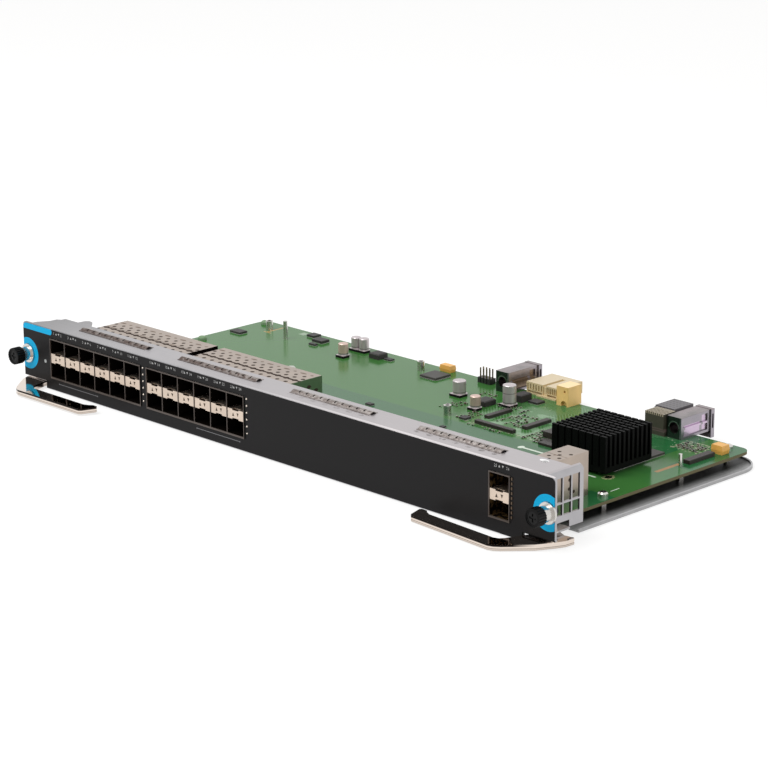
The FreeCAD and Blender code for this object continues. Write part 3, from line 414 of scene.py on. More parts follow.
def tray_finish():
    """Zinc-plated tray: a matt coat with broad bands along its length, a paler turned-up side, and a painted
    shadow of the board, near black and not metallic, on the floor under it."""
    s = Shade("tray_sheet", (0.28, 0.28, 0.285), 0.40, 0.3, specular_ior_level=0.2)
    bands = s.noise(3.2, 2.0, (1, 0.01, 1))
    cloud = s.noise(14.0, 3.0)
    shade = 0.5 * s.ramp(bands, 0.35, 0.65) + 0.5 * s.ramp(cloud, 0.3, 0.7)
    tone = s.mix(shade, (0.25, 0.25, 0.255), (0.42, 0.42, 0.425))
    side = (s.z > 1.6) * (s.z < 3.2)
    tone = s.mix(side, tone, (0.46, 0.46, 0.47))
    floor = (s.z > 0.9) * (s.z < 1.2) * s.ramp(s.y, 25.0, 42.0)
    # painted shadow of the board: the floor under it near black and not metallic
    black = s.ramp(s.x, 17.0, 23.0) * s.ramp(424.0 - s.x, 0.0, 6.5) * floor
    s.put("Base Color", s.mix(black, tone, (0.010, 0.009, 0.009)))
    s.put("Metallic", 0.3 - 0.3 * black)
    s.put("Roughness", 0.2 * bands + 0.30)
    s.bump(bands, 0.02, 0.4)
    return s.material


def lever_finish(base):
    """Polished lever: painted reflections on the handle's rolled edge, dark towards the top, with a fine
    brown line and a darker foot. The right lever hangs lower than the left, and has painted shade, near
    black, over its hub."""
    s = Shade("lever_nickel", base, 0.07, 1.0, specular_ior_level=0.1)
    hair = s.noise(0.5, 2.0, (0.03, 1, 1))
    right = s.x > PANEL_WIDTH / 2
    foot = LEVER_FOOT - (LEVER_FOOT - RIGHT_LEVER_FOOT) * right
    level = (s.z - foot) / LEVER_THICKNESS
    edge = (level > 0.01) * (level < 0.9995)
    handle = (s.y < 2.0) * s.ramp(abs(s.x - PANEL_WIDTH / 2), 212.0, 204.0)
    # painted reflections on the rolled edge: a fine brown line and a darker foot
    line = s.ramp(0.06 - abs(level - 0.33), 0.0, 0.03)
    low = s.ramp(0.30 - level, 0.0, 0.25)
    tone = s.mix(low * edge, base, shaded(base, 0.62))
    tone = s.mix(line * edge * 0.85, tone, (0.13, 0.10, 0.08))
    # painted shade, near black and not metallic, over the right lever's hub
    hub = s.box(404.0, 428.0, -2.5, 9.0) * (level > 0.5)
    # painted reflection of the dark panel, near black, on the upper part of the handle's edge
    dark = s.ramp(level, 0.62, 0.70) * handle * edge
    s.put("Base Color", s.mix(dark.most(hub), tone, (0.010, 0.007, 0.006)))
    s.put("Metallic", 1.0 - hub)
    s.put("Roughness", 0.08 * s.ramp(hair, 0.45, 0.8) + 0.05)
    s.bump(hair, 0.006, 0.3)
    return s.material


def cage_vents(s):
    """Marks on the two wide cages: the dark seam between the covers, with a row of holes in front of it
    and two behind, and a row of brown tabs. Returns the holes and the tabs."""
    holes, tabs = [], []
    for (start, columns), seam_y in zip(BLOCKS, CAGE_SEAMS):
        top = s.box(start, start + columns * PITCH, -5, 70) * (s.z > CAGE_TOP - 0.3)
        across, back = s.x - start, s.y - seam_y
        seam = (abs(back) < 0.85).most(s.disc((across - 3.0).wrap(PITCH / 2), back, 1.75))
        rows = either(s.disc((across - shift).wrap(PITCH / 2), back - row, radius)
                      for shift, row, radius in VENT_ROWS)
        marks = either(s.disc((across - shift).wrap(PITCH) / stretch, back - TAB_ROW, radius)
                       for shift, stretch, radius in ((3.4, 2.6, 1.0), (10.6, 1.3, 0.9)))
        holes.append(seam.most(rows) * top)
        tabs.append(marks * top)
    return either(holes), either(tabs)


def cage_finish(base):
    """Nickel-plated cage sheet with its vents. Painted shade makes the bays and the gap between the wide
    blocks dark inside, with gilt contacts in the uplink pair, and the wall beside the board has a painted
    reflection of the mask's green."""
    s = Shade("cage_plating", base, 0.36, 1.0, specular_ior_level=0.0)
    cloud = s.noise(11.0, 3.0)
    fine = s.noise(0.7, 2.0)
    holes, tabs = cage_vents(s)
    below = s.z < CAGE_TOP - 0.2
    bays = either(s.box(start + 0.2, start + columns * PITCH - 0.2, -0.4, CAGE_REAR - 0.2)
                  for start, columns in BLOCKS) * below
    top_holes = either(s.disc(s.x - x, s.y - y, 1.1) for x, y in UPLINK_TOP_HOLES) * (s.z > CAGE_TOP - 0.3)
    end_wall = (s.x > UPLINK_END - 0.55) * below
    end_holes = either(s.disc(s.y - y, s.z - z, 0.95) for y, z in UPLINK_END_HOLES) * end_wall
    flank = s.box(RIGHT_END - 0.4, RIGHT_END + 1.1, -1, 60)
    slots = either(s.disc((s.y - y) / 1.6, s.z - z, 1.0) for y, z in ((49.2, 27.6), (54.6, 24.7))) * flank
    holes = either((holes, top_holes, end_holes, slots))
    cleft = s.box(LEFT_END - 0.4, LEFT_END + 1.3, -1, 60)
    # painted shade: the bays and the gap between the wide blocks near black inside, not metallic
    dark = bays.most(cleft)
    tone_and_sheen = s.mix(s.ramp(cloud, 0.3, 0.7), shaded(base, 0.84), base)
    # painted reflection of the mask's green on the wall beside the board
    tone_and_sheen = s.mix(flank, tone_and_sheen, (0.17, 0.25, 0.15))
    tone_and_sheen = s.mix(tabs, tone_and_sheen, (0.20, 0.15, 0.12))
    tone_and_sheen = s.mix(holes, tone_and_sheen, (0.055, 0.040, 0.032))
    gilt = s.ramp(s.noise(2.4, 3.0), 0.48, 0.62) * (s.x > 390.0)
    inner = s.mix(gilt, (0.0035, 0.0025, 0.002), (0.075, 0.045, 0.018))
    s.put("Base Color", s.mix(dark, tone_and_sheen, inner))
    s.put("Metallic", 1.0 - (holes * 0.85).most(tabs * 0.6).most(dark))
    s.put("Roughness", 0.16 * cloud + 0.10 * fine + 0.24 + 0.3 * dark)
    s.bump(fine, 0.01, 0.4)
    return s.material


def film_finish(base, accent):
    """Printed film: near black with a fine tooth, a blue corner label and blue rings round the screws, a
    printed rule with round ends under each block of ports and a lamp window."""
    s = Shade("panel_film", base, 0.42, 0.0, specular_ior_level=0.12)
    tooth = s.noise(0.5, 2.0)
    label = s.box(-1, 26.9, 34.4, 40, s.x, s.z).most(s.disc(s.x - 26.9, s.z - 36.4, 2.0) * (s.z > 34.4))
    rings = either(s.disc(s.x - x, s.z - z, 9.8) for x, _, z in SCREWS)
    blue = label.most(rings)
    lines = s.boxes([(x0, x1, 4.85, 5.2) for x0, x1 in RULES], s.x, s.z)
    ends = either(s.disc(s.x - x, s.z - 5.0, 0.42) for rule in RULES for x in rule)
    lamp = s.disc(s.x - 21.6, s.z - 17.1, 1.1)
    tone = s.mix(blue, base, accent)
    tone = s.mix(lines.most(ends), tone, (0.19, 0.19, 0.20))
    s.put("Base Color", s.mix(lamp, tone, (0.35, 0.37, 0.37)))
    s.put("Roughness", 0.10 * tooth + 0.36 - 0.06 * blue)
    s.bump(tooth, 0.012, 0.35)
    return s.material


def board_tracks(s):
    """Fine tracks in lanes between the chips, slanting in some and straight across in the others."""
    slant = s.x * 0.7071 + s.y * 0.7071
    lane = s.noise(26.0, 1.0, (1, 1, 0.1)) > 0.52
    slanting = (abs(slant.wrap(1.7)) < 0.28) * lane * s.box(262, 352, 108, 176)
    straight = (abs(s.y.wrap(1.5)) < 0.25) * (1.0 - lane) * s.box(270, 380, 108, 178)
    return slanting.most(straight)


def board_print(s):
    """White print: an arrow behind the flange, a few plain strokes and one faint block."""
    arrow_head = s.disc(s.x - 326.4, (s.y - 95.7) * 0.8, 1.8)
    return s.boxes(PRINTED_STROKES).most(arrow_head).most(s.box(61, 66, 172, 177) * 0.35)


def board_finish(finish):
    """Solder mask: paler on bare laminate, deeper over copper planes and in the strip behind the panel,
    with fine tracks, plated holes and printed marks; the cut edge shows the laminate."""
    s = Shade("board_mask", tuple(finish.mask), 0.1, 0.0, specular_ior_level=0.17)
    mask, deep_tone, pale_tone = tuple(finish.mask), tuple(finish.mask_deep), tuple(finish.mask_pale)
    cloudy = s.ramp(s.noise(38.0, 2.0), 0.42, 0.58) * (s.x > 300.0)
    tone = s.mix(s.boxes(COPPER_PLANES).most(cloudy * 0.5), mask, deep_tone)
    strip = s.ramp(106.8 - s.y, 0.0, 2.4) * s.ramp(372.0 - s.x, 0.0, 6.0)
    tone = s.mix(strip, tone, (0.029, 0.116, 0.042))
    tracks = board_tracks(s)
    tone = s.mix(tracks * 0.40, tone, pale_tone)
    pours = s.ramp(s.noise(9.0, 1.0), 0.50, 0.56) * s.box(276, 350, 110, 150)
    tone = s.mix(pours * 0.7, tone, pale_tone)
    vias = (s.cells(3.1) < 0.14) * (s.noise(20.0, 1.0) > 0.52) * s.box(262, 392, 108, 190)
    tone = s.mix(vias * 0.75, tone, (0.40, 0.43, 0.33))
    tone = s.mix(board_print(s) * 0.92, tone, (0.66, 0.74, 0.64))
    beaded = s.box(384, 404, 153, 170).most(s.box(262, 350, 108, 112) * 0.7)
    beads = s.ramp(s.noise(2.1, 2.0), 0.50, 0.60) * beaded
    tone = s.mix(beads * 0.75, tone, (0.36, 0.37, 0.26))
    hole_x, hole_y = s.x - 395.9, (s.y - 89.0) * 0.8
    pad = s.disc(hole_x, hole_y, 3.3) * s.ramp(s.noise(1.4, 3.0), 0.40, 0.60)
    tone = s.mix(pad, tone, (0.42, 0.36, 0.22))
    tone = s.mix(s.disc(hole_x, hole_y, 1.9), tone, (0.012, 0.014, 0.008))
    copper = s.ramp(1.7 - abs(s.x - 408.0), 0.0, 0.9) * s.box(400, 420, 113.8, 133.9)
    tone = s.mix(copper * 0.75, tone, (0.42, 0.17, 0.04))
    gold = s.box(40, 47, 160.5, 161.6).most(s.box(41.9, 43.8, 160.3, 176.1) * 0.8)
    tone = s.mix(gold, tone, (0.38, 0.24, 0.06))
    edge = (s.z < BOARD_TOP - 0.05) * (s.z > BOARD_TOP - 1.79)
    s.put("Base Color", s.mix(edge, tone, tuple(finish.laminate)))
    s.put("Roughness", 0.08 * s.noise(60.0, 2.0) + 0.13 + 0.4 * edge)
    s.bump((vias + tracks).clamp(), 0.03, 0.5)
    return s.material


def moulded(name, base, rough=0.5, size=1.5, **constants):
    """Moulded plastic: slightly uneven tone and a fine tooth."""
    s = Shade(name, base, rough, 0.0, **constants)
    cloud = s.noise(size * 6, 3.0)
    tooth = s.noise(size * 0.25, 2.0)
    s.put("Base Color", s.mix(s.ramp(cloud, 0.3, 0.7), shaded(base, 0.80), base))
    s.put("Roughness", 0.18 * tooth + rough - 0.09)
    s.bump(tooth, 0.02, 0.4)
    return s.material


def power_finish(name, base, lit_top_tone, tops):
    """Glass-filled moulding: an uneven tone, with painted light making its upper faces at the given heights
    paler.
    """
    s = Shade(name, base, 0.45, 0.0)
    cloud = s.noise(9.0, 3.0)
    tooth = s.noise(0.4, 2.0)
    # painted light: the upper faces at the given heights take a paler tone
    upper = either(abs(s.z - BOARD_TOP - height) < 0.06 for height in tops)
    tone = s.mix(s.ramp(cloud, 0.3, 0.7), shaded(base, 0.82), base)
    s.put("Base Color", s.mix(upper, tone, lit_top_tone))
    s.put("Roughness", 0.18 * tooth + 0.36)
    s.bump(tooth, 0.02, 0.4)
    return s.material


def polished(name, base, rough=0.08):
    """Polished plating: faint clouds and hairline scratches."""
    s = Shade(name, base, rough, 1.0)
    hair = s.noise(0.5, 2.0, (0.03, 1, 1))
    cloud = s.noise(9.0, 3.0)
    s.put("Base Color", s.mix(s.ramp(cloud, 0.35, 0.75), shaded(base, 0.9), base))
    s.put("Roughness", 0.10 * s.ramp(hair, 0.45, 0.8) + 0.06 * cloud + rough)
    s.bump(hair, 0.006, 0.3)
    return s.material


def can_finish():
    """Drawn aluminium: a dark groove near the foot, one more half-way up the tall can, two coppery cans
    and dark plastic feet."""
    s = Shade("capacitor_can", (0.62, 0.61, 0.60), 0.30, 1.0, specular_ior_level=0.1)
    height = s.z - BOARD_TOP
    tall = s.box(262, 276, 145, 160)
    ring = (abs(height - 2.6) < 0.3).most((abs(height - 8.2) < 0.22) * tall)
    foot = s.z < BOARD_TOP + 1.5
    cloud = s.noise(5.0, 2.0)
    tone = s.mix(ring, (0.56, 0.51, 0.52), (0.24, 0.21, 0.22))
    coppery = s.boxes(((117, 126, 150, 159), (254, 263, 126, 134))) * (height > 2.9)
    tone = s.mix(coppery, tone, (0.66, 0.50, 0.44))
    s.put("Base Color", s.mix(foot, tone, (0.006, 0.006, 0.006)))
    s.put("Metallic", (1.0 - foot) * 0.75)
    s.put("Roughness", 0.12 * cloud + 0.34 + 0.15 * foot)
    return s.material


def chip_finish(name, base):
    """Moulded package: matt, with dull tinned leads near the board."""
    s = Shade(name, base, 0.5, 0.0)
    tooth = s.noise(0.4, 2.0)
    leads = s.z < BOARD_TOP + 0.32
    s.put("Base Color", s.mix(leads, base, (0.42, 0.42, 0.40)))
    s.put("Metallic", 0.9 * leads)
    s.put("Roughness", 0.16 * tooth + 0.42)
    s.bump(tooth, 0.015, 0.4)
    return s.material


def guide_finish():
    """Die-cast guide block: rosy plating on top, a painted green-black reflection on the nose round the bore
    with a painted highlight on its rim, and painted light on a paler grey side, with painted reflections in
    its pockets, lilac on the right block and brown on the left."""
    s = Shade("cast_plating", (0.40, 0.37, 0.38), 0.3, 1.0)
    cloud = s.noise(9.0, 2.0)
    fine = s.noise(0.9, 3.0)
    height = s.z - BOARD_TOP
    tone = s.mix(s.ramp(cloud, 0.4, 0.65), (0.21, 0.19, 0.19), (0.31, 0.265, 0.275))
    for x, pocket_reflection in GUIDES:
        block = s.box(x - 0.8, x + 12.2, 166, 196)
        nose = block * (s.y < 167.0)
        # painted green-black reflection on the nose round the bore
        tone = s.mix(nose, tone, (0.05, 0.075, 0.06))
        # painted highlight on the rim of the bore
        rim = nose * s.disc(s.x - x - BORE_ACROSS, height - BORE_HEIGHT, 3.9) * (height > BORE_HEIGHT)
        tone = s.mix(rim * 0.8, tone, (0.35, 0.40, 0.37))
        # painted light on the paler grey side, with painted reflections in its pockets
        side = block * (s.x > x + 9.4) * (height < 12.4)
        pockets = side * s.boxes(((170.5, 184.0, 1.6, 7.4), (186.0, 189.5, 2.0, 10.5)), s.y, height)
        tone = s.mix(side * (1.0 - pockets) * 0.6, tone, (0.37, 0.35, 0.40))
        tone = s.mix(pockets * 0.8, tone, pocket_reflection)
    s.put("Base Color", tone)
    s.put("Roughness", 0.22 * fine + 0.2)
    s.bump(fine, 0.03, 0.5)
    return s.material


def signal_finish():
    """Dark olive housing: pale ribs across the top and a rosy band low on the front."""
    olive = (0.05, 0.046, 0.032)
    s = Shade("olive_moulding", olive, 0.45, 0.0)
    height = s.z - BOARD_TOP
    tooth = s.noise(0.5, 2.0)
    ribs = (abs((s.x - 358.15).wrap(1.5)) < 0.42) * (height > 11.7)
    band = s.ramp(1.3 - abs(height - 3.4), 0.0, 0.7) * (s.y < 172.0)
    tone = s.mix(ribs * 0.85, olive, (0.42, 0.36, 0.26))
    s.put("Base Color", s.mix(band * 0.5, tone, (0.26, 0.17, 0.17)))
    s.put("Roughness", 0.14 * tooth + 0.38)
    s.bump(tooth, 0.02, 0.4)
    return s.material


def shroud_finish():
    """Grey housing with rows of darker bumps on top."""
    s = Shade("grey_moulding", (0.13, 0.12, 0.125), 0.42, 0.0)
    bumps = s.disc((s.x - 356.5).wrap(2.4), (s.y - 176.0).wrap(3.0), 0.8) * (s.z > BOARD_TOP + 13.2)
    tooth = s.noise(0.6, 2.0)
    tone = s.mix(tooth, (0.10, 0.093, 0.10), (0.14, 0.13, 0.14))
    s.put("Base Color", s.mix(bumps * 0.7, tone, (0.045, 0.042, 0.045)))
    s.put("Roughness", 0.16 * tooth + 0.36)
    s.bump(bumps, 0.2, 0.6)
    return s.material


def bracket_finish():
    """Lever bracket: plain sheet, with painted shade, near black, where it stands in the panel's notch."""
    s = Shade("bracket_sheet", (0.42, 0.42, 0.43), 0.4, 1.0)
    cloud = s.noise(8.0, 3.0)
    # painted shade, near black, where the bracket stands in the panel's notch
    black = s.ramp(9.5 - s.y, 0.0, 1.0) * ((s.z > 5.0).most(s.x > PANEL_WIDTH / 2))
    tone = s.mix(cloud, (0.34, 0.34, 0.35), (0.46, 0.45, 0.46))
    s.put("Base Color", s.mix(black, tone, (0.012, 0.011, 0.012)))
    s.put("Roughness", 0.2 * cloud + 0.3)
    return s.material


def screw_finish():
    """Board screws: bright heads; those in the left half have dulled and taken on the mask's tone."""
    s = Shade("screw_heads", (0.68, 0.66, 0.63), 0.18, 1.0)
    cloud = s.noise(3.0, 2.0)
    darker_left = s.ramp(s.x, 150.0, 60.0)
    s.put("Base Color", s.mix(darker_left, (0.66, 0.64, 0.61), (0.17, 0.27, 0.15)))
    s.put("Metallic", 1.0 - darker_left)
    s.put("Roughness", 0.12 * cloud + 0.14 + 0.6 * darker_left)
    return s.material


def header_finish():
    """Black base below, gold-plated pins above."""
    black = (0.015, 0.015, 0.015)
    s = Shade("header_mix", black, 0.4, 0.0)
    pin = s.z > BOARD_TOP + 3.5
    s.put("Base Color", s.mix(pin, black, (0.28, 0.20, 0.12)))
    s.put("Metallic", pin)
    s.put("Roughness", 0.4 - 0.15 * pin)
    return s.material


def single_finishes(colours, turned):
    """Finishes of the nodes that come once, by node; turned is the finish of small turned parts."""
    guide = guide_finish()
    return {
        "front_panel": sheet_finish(tuple(colours.sheet)),
        "bottom_tray": tray_finish(),
        "gasket_strips": gasket_finish(),
        "panel_overlay": film_finish(tuple(colours.film), tuple(colours.accent)),
        "tray_rivets": turned,
        "board_standoffs": turned,
        "board_posts": turned,
        "board_screws": screw_finish(),
        "circuit_board": board_finish(colours),
        "heat_sink": moulded("anodised_black", (0.0018, 0.0018, 0.0018), 0.5, specular_ior_level=0.07),
        "switch_chip": chip_finish("chip_carrier", (0.05, 0.045, 0.042)),
        "square_chip": chip_finish("square_moulding", (0.03, 0.028, 0.024)),
        "small_chips": chip_finish("chip_moulding", (0.016, 0.014, 0.014)),
        "filter_strips": moulded("filter_moulding", (0.022, 0.016, 0.014), 0.45),
        "power_inductors": moulded("pressed_powder", (0.026, 0.023, 0.022), 0.6, 0.6),
        "tantalum_capacitors": moulded("orange_moulding", tuple(colours.orange), 0.38),
        "pin_header": header_finish(),
        "can_capacitors": can_finish(),
        "left_guide_module": guide,
        "right_guide_module": guide,
        "signal_connector": signal_finish(),
        "signal_connector_shroud": shroud_finish(),
        "left_power_connector": power_finish("cream_moulding", tuple(colours.cream), (0.62, 0.52, 0.355),
                                             (7.2, 7.4)),
        "right_power_connector": power_finish("amber_moulding", (0.93, 0.61, 0.225), (0.90, 0.68, 0.38),
                                              (11.8,)),
    }


def cage_finishes(colours):
    """Finishes of the pieces of a port cage, by the end of the node's name."""
    plating = cage_finish(tuple(colours.cage))
    return {
        "_cage_shell": plating,
        "_cage_floor": plating,
        "_cage_dividers": plating,
        "_cage_shelves": polished("cage_shelf", (0.72, 0.60, 0.50), 0.30),
        "_spring_frame": polished("cage_rim", (0.13, 0.11, 0.10), 0.34),
        "_port_connectors": moulded("black_moulding", (0.008, 0.008, 0.008), 0.42, specular_ior_level=0.2),
        "_light_guides": moulded("guide_clear", (0.20, 0.18, 0.15), 0.2),
    }


def end_finishes(colours, turned):
    """Finishes of the lever and the captive screw at each end, by the end of the node's name."""
    return {
        "_ejector": lever_finish(tuple(colours.nickel)),
        "_ejector_bracket": bracket_finish(),
        "_ejector_pivot": turned,
        "_screw_ferrule": turned,
        "_screw_washer": turned,
        "_screw_spring": turned,
        "_captive_screw": polished("dark_screw", (0.022, 0.022, 0.022), 0.3),
        "_screw_knob": moulded("knob_moulding", (0.004, 0.004, 0.004), 0.30, specular_ior_level=0.10),
    }


class CARD_OT_finish(bpy.types.Operator):
    """Give every solid of the card its finish"""
    bl_idname = "card.finish"
    bl_label = "Finish the solids"

    def execute(self, context):
        colours = context.scene.card_finish
        turned = polished("turned_nickel", (0.68, 0.66, 0.63), 0.18)
        finishes = single_finishes(colours, turned)
        for end, material in cage_finishes(colours).items():
            finishes |= {block + end: material for block in ("left", "right", "uplink")}
        del finishes["uplink_cage_dividers"]          # a single column has none
        for end, material in end_finishes(colours, turned).items():
            finishes |= {side + end: material for side in ("left", "right")}
        for name, material in finishes.items():
            materials = bpy.data.objects[name].data.materials
            materials.clear()
            materials.append(material)
        return {"FINISHED"}


# ---- pieces --------------------------------------------------------------------------------------

def part_places(rng):
    """Places of the small soldered parts: grids over the fields, thinned and shaken."""
    places = []
    for x0, x1, y0, y1, across, back in PART_FIELDS:
        x, y = np.meshgrid(np.arange(x0, x1, across), np.arange(y0, y1, back))
        keep = rng.random(x.size) < 0.72
        places.append(np.stack([x.ravel(), y.ravel()], 1)[keep] + rng.uniform(-0.4, 0.4, (keep.sum(), 2)))
    return np.concatenate(places)


class CARD_OT_small_parts(bpy.types.Operator):
    """Scatter the small soldered parts over the board"""
    bl_idname = "card.small_parts"
    bl_label = "Small soldered parts"

    def execute(self, context):
        rng = np.random.default_rng(context.scene.card_studio.seed)
        body = moulded("smd_body", (0.075, 0.05, 0.032), 0.5, 0.4)
        dark = moulded("smd_dark", (0.018, 0.016, 0.014), 0.45, 0.4)
        tin = polished("smd_tin", (0.50, 0.52, 0.45), 0.4)
        spots = part_places(rng)
        foot = np.full(len(spots), BOARD_TOP)
        turned = rng.random(len(spots)) < 0.35
        long = rng.choice([1.6, 2.0, 2.6], len(spots))
        wide = 0.42 * long
        half = np.where(turned[:, None], np.c_[wide, long], np.c_[long, wide]) / 2
        height = 0.35 + 0.25 * long * rng.random(len(spots))
        body_points, body_faces = blocks(np.c_[spots - half * 0.72, foot],
                                         np.c_[spots + half * 0.72, foot + height])
        along = np.where(turned[:, None], (0, 1), (1, 0))
        reach = np.where(along > 0, half * 0.22, half * 1.02)
        caps = np.concatenate([spots - along * half * 0.80, spots + along * half * 0.80])
        reach, cap_foot = np.tile(reach, (2, 1)), np.tile(foot, 2)
        cap_points, cap_faces = blocks(np.c_[caps - reach, cap_foot],
                                       np.c_[caps + reach, cap_foot + np.tile(height, 2) * 1.03])
        pale = rng.random(len(spots)) < 0.4
        kinds = np.r_[np.repeat(pale.astype(int), len(SIDES)), np.full(len(cap_faces), 2)]
        piece("small_soldered_parts", np.r_[body_points, cap_points],
              np.r_[body_faces, cap_faces + len(body_points)], (body, dark, tin), kinds)
        return {"FINISHED"}


class CARD_OT_contacts(bpy.types.Operator):
    """Add the spring contacts beside the port blocks"""
    bl_idname = "card.contacts"
    bl_label = "Spring contacts"

    def execute(self, context):
        metal = polished("contact_nickel", (0.70, 0.62, 0.54), 0.25)
        bronze = polished("finger_bronze", (0.13, 0.095, 0.07), 0.35)
        centres = [(x, FILM_Y, z) for x in CONTACT_COLUMNS for z in np.linspace(11.3, 31.4, 6)]
        dome_points, dome_faces = domes(centres, 0.6)
        feet = np.linspace(10.0, 30.6, 9)
        finger_points, finger_faces = blocks([(FINGERS_X[0], FILM_Y - 0.4, z) for z in feet],
                                             [(FINGERS_X[1], FILM_Y, z + 1.5) for z in feet])
        kinds = np.r_[np.zeros(len(dome_faces), int), np.ones(len(finger_faces), int)]
        piece("panel_contacts", np.r_[dome_points, finger_points],
              np.r_[dome_faces, finger_faces + len(dome_points)], (metal, bronze), kinds)
        return {"FINISHED"}


def digit_shapes(text, size):
    """Points and faces of a plain number, drawn with the built-in font, its foot at the origin."""
    curve = bpy.data.curves.new("numeral", "FONT")
    curve.body, curve.size, curve.resolution_u = text, size, 1
    thing = bpy.data.objects.new("numeral", curve)
    mesh = thing.to_mesh()
    points = np.array([v.co[:] for v in mesh.vertices])
    faces = [tuple(p.vertices) for p in mesh.polygons]
    thing.to_mesh_clear()
    bpy.data.objects.remove(thing)
    bpy.data.curves.remove(curve)
    return points, faces


class CARD_OT_numbers(bpy.types.Operator):
    """Print plain numbers and arrowheads over the columns of ports"""
    bl_idname = "card.numbers"
    bl_label = "Port numbers"

    def execute(self, context):
        ink = moulded("white_ink", (0.42, 0.42, 0.42), 0.6)
        up = np.array([(-0.7, 0), (0.7, 0), (0, 1.3)])
        down = up * (1, -1) + (0, 1.3)
        points, faces, count, number = [], [], 0, 1

        def add(shape, polygons, x, z):
            nonlocal count
            points.append(np.c_[shape[:, 0] + x, np.full(len(shape), FILM_Y - PRINT_STANDS), shape[:, 1] + z])
            faces.extend(tuple(i + count for i in p) for p in polygons)
            count += len(shape)

        for start, columns in BLOCKS:
            lone = columns == 1                       # the uplink pair's numbers stand wider, to the right
            for column in range(columns):
                centre = start + PITCH * (column + 0.5) + 0.9 * lone
                for offset, value in ((-4.3 - 0.6 * lone, number), (2.9 + 0.6 * lone, number + 1)):
                    add(*digit_shapes(str(value), 2.3), centre + offset, 35.3)
                add(up, [(0, 1, 2)], centre - 1.2, 35.5)
                add(down, [(0, 2, 1)], centre + 1.2, 35.5)
                number += 2
        piece("port_numbers", np.concatenate(points), faces, (ink,))
        return {"FINISHED"}


# ---- stage ---------------------------------------------------------------------------------------

def blend_white(tree, plain, white, share, output):
    """Shows the white shader instead of the plain one, by a share, to the rays that see surroundings."""
    mix = tree.nodes.new("ShaderNodeMixShader")
    feed(tree, mix.inputs[0], share)
    tree.links.new(plain.outputs[0], mix.inputs[1])
    tree.links.new(white.outputs[0], mix.inputs[2])
    tree.links.new(mix.outputs[0], tree.nodes[output].inputs[0])


def light_world(scene, strength):
    """Even, slightly warm light from all round, seen as plain white."""
    scene.world = bpy.data.worlds.new("studio")
    scene.world.use_nodes = True
    tree = scene.world.node_tree
    dome = tree.nodes["Background"]
    dome.inputs["Color"].default_value = (1.0, 0.99, 0.975, 1)
    dome.inputs["Strength"].default_value = strength
    white = tree.nodes.new("ShaderNodeBackground")
    white.inputs["Color"].default_value = (1, 1, 1, 1)
    blend_white(tree, dome, white, plain_rays(tree), "World Output")


def lay_floor(scene):
    """A pale floor just under the tray, which keeps the card's shadow and glows to near white."""
    half, z = 4.0, -0.0005
    mesh = bpy.data.meshes.new("floor")
    mesh.from_pydata([(-half, -half, z), (half, -half, z), (half, half, z), (-half, half, z)], [],
                     [(0, 1, 2, 3)])
    floor = bpy.data.objects.new("floor", mesh)
    scene.collection.objects.link(floor)
    pale = bpy.data.materials.new("pale_floor")
    pale.use_nodes = True
    tree = pale.node_tree
    skin = tree.nodes["Principled BSDF"]
    skin.inputs["Base Color"].default_value = (0.80, 0.80, 0.80, 1)
    skin.inputs["Roughness"].default_value = 0.9
    glow = tree.nodes.new("ShaderNodeEmission")
    glow.inputs["Strength"].default_value = 1.18
    blend_white(tree, skin, glow, plain_rays(tree) * 0.6, "Material Output")
    mesh.materials.append(pale)


def hang_lamp(scene, name, power, size, spot, aim):
    """A square lamp at spot that shines at aim."""
    light = bpy.data.lights.new(name, "AREA")
    light.energy, light.size = power, size
    lamp = bpy.data.objects.new(name, light)
    scene.collection.objects.link(lamp)
    back = np.subtract(spot, aim) / np.linalg.norm(np.subtract(spot, aim))
    lamp.matrix_world = looking(spot, -back, 0.0)


def set_camera(scene, studio):
    """The camera, turned by the azimuth and tilted by the elevation."""
    camera = bpy.data.cameras.new("camera")
    camera.lens, camera.sensor_width = studio.lens, 36.0
    camera.clip_start, camera.clip_end = 0.05, 20.0
    eye = bpy.data.objects.new("camera", camera)
    scene.collection.objects.link(eye)
    a, e = studio.azimuth, studio.elevation
    forward = np.array((-np.sin(a) * np.cos(e), np.cos(a) * np.cos(e), -np.sin(e)))
    eye.matrix_world = looking(studio.place, forward, studio.roll)
    scene.camera = eye


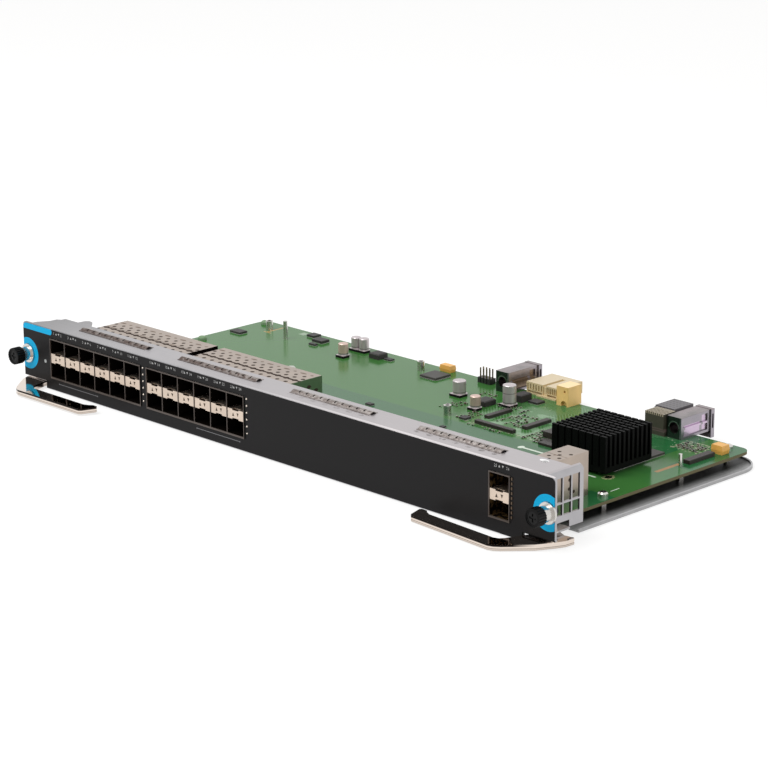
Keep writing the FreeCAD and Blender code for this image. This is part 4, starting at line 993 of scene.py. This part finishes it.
class CARD_OT_stage(bpy.types.Operator):
    """Build the floor, the light and the camera"""
    bl_idname = "card.stage"
    bl_label = "Studio"

    def execute(self, context):
        scene = context.scene
        studio = scene.card_studio
        scene.view_settings.view_transform = "Standard"
        light_world(scene, studio.dome)
        lay_floor(scene)
        hang_lamp(scene, "key", studio.key, 1.2, (-0.3, -0.9, 1.5), (0.0, 0.0, 0.0))
        hang_lamp(scene, "fill", studio.fill, 1.0, (1.6, 0.2, 0.9), (0.1, 0.0, 0.0))
        set_camera(scene, studio)
        return {"FINISHED"}


def plain_rays(tree):
    """1 for the rays that show the white surroundings: the camera's, and those seen in metal or glass."""
    path = tree.nodes.new("ShaderNodeLightPath")
    kinds = ("Is Camera Ray", "Is Glossy Ray", "Is Transmission Ray")
    return either(Val(tree, path.outputs[kind]) for kind in kinds)


def looking(spot, forward, roll):
    """The matrix of a lamp or camera at spot that looks forward, turned about its axis by roll."""
    across = np.cross(forward, (0, 0, 1))
    across = across / np.linalg.norm(across)
    up = np.cross(across, forward)
    c, s = np.cos(roll), np.sin(roll)
    across, up = c * across + s * up, c * up - s * across
    return Matrix([[across[i], up[i], -forward[i], spot[i]] for i in range(3)] + [[0, 0, 0, 1]])


class CARD_PT_panel(bpy.types.Panel):
    """The card's settings and steps"""
    bl_idname = "CARD_PT_panel"
    bl_label = "Line Card"
    bl_space_type = "VIEW_3D"
    bl_region_type = "UI"
    bl_category = "Line Card"

    def draw(self, context):
        for group in (context.scene.card_finish, context.scene.card_studio):
            for key in group.__annotations__:
                self.layout.prop(group, key)
        for step in STEPS:
            self.layout.operator(step.bl_idname)


STEPS = (CARD_OT_stage, CARD_OT_finish, CARD_OT_small_parts, CARD_OT_contacts, CARD_OT_numbers)
CLASSES = (CardFinish, CardStudio, *STEPS, CARD_PT_panel)


def register():
    for cls in CLASSES:
        bpy.utils.register_class(cls)
    bpy.types.Scene.card_finish = PointerProperty(type=CardFinish)
    bpy.types.Scene.card_studio = PointerProperty(type=CardStudio)


def unregister():
    del bpy.types.Scene.card_finish, bpy.types.Scene.card_studio
    for cls in reversed(CLASSES):
        bpy.utils.unregister_class(cls)


def main():
    """Registers the classes and runs every step."""
    register()
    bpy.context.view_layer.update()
    bpy.ops.card.stage()
    bpy.ops.card.finish()
    bpy.ops.card.small_parts()
    bpy.ops.card.contacts()
    bpy.ops.card.numbers()


if __name__ == "__main__":
    main()
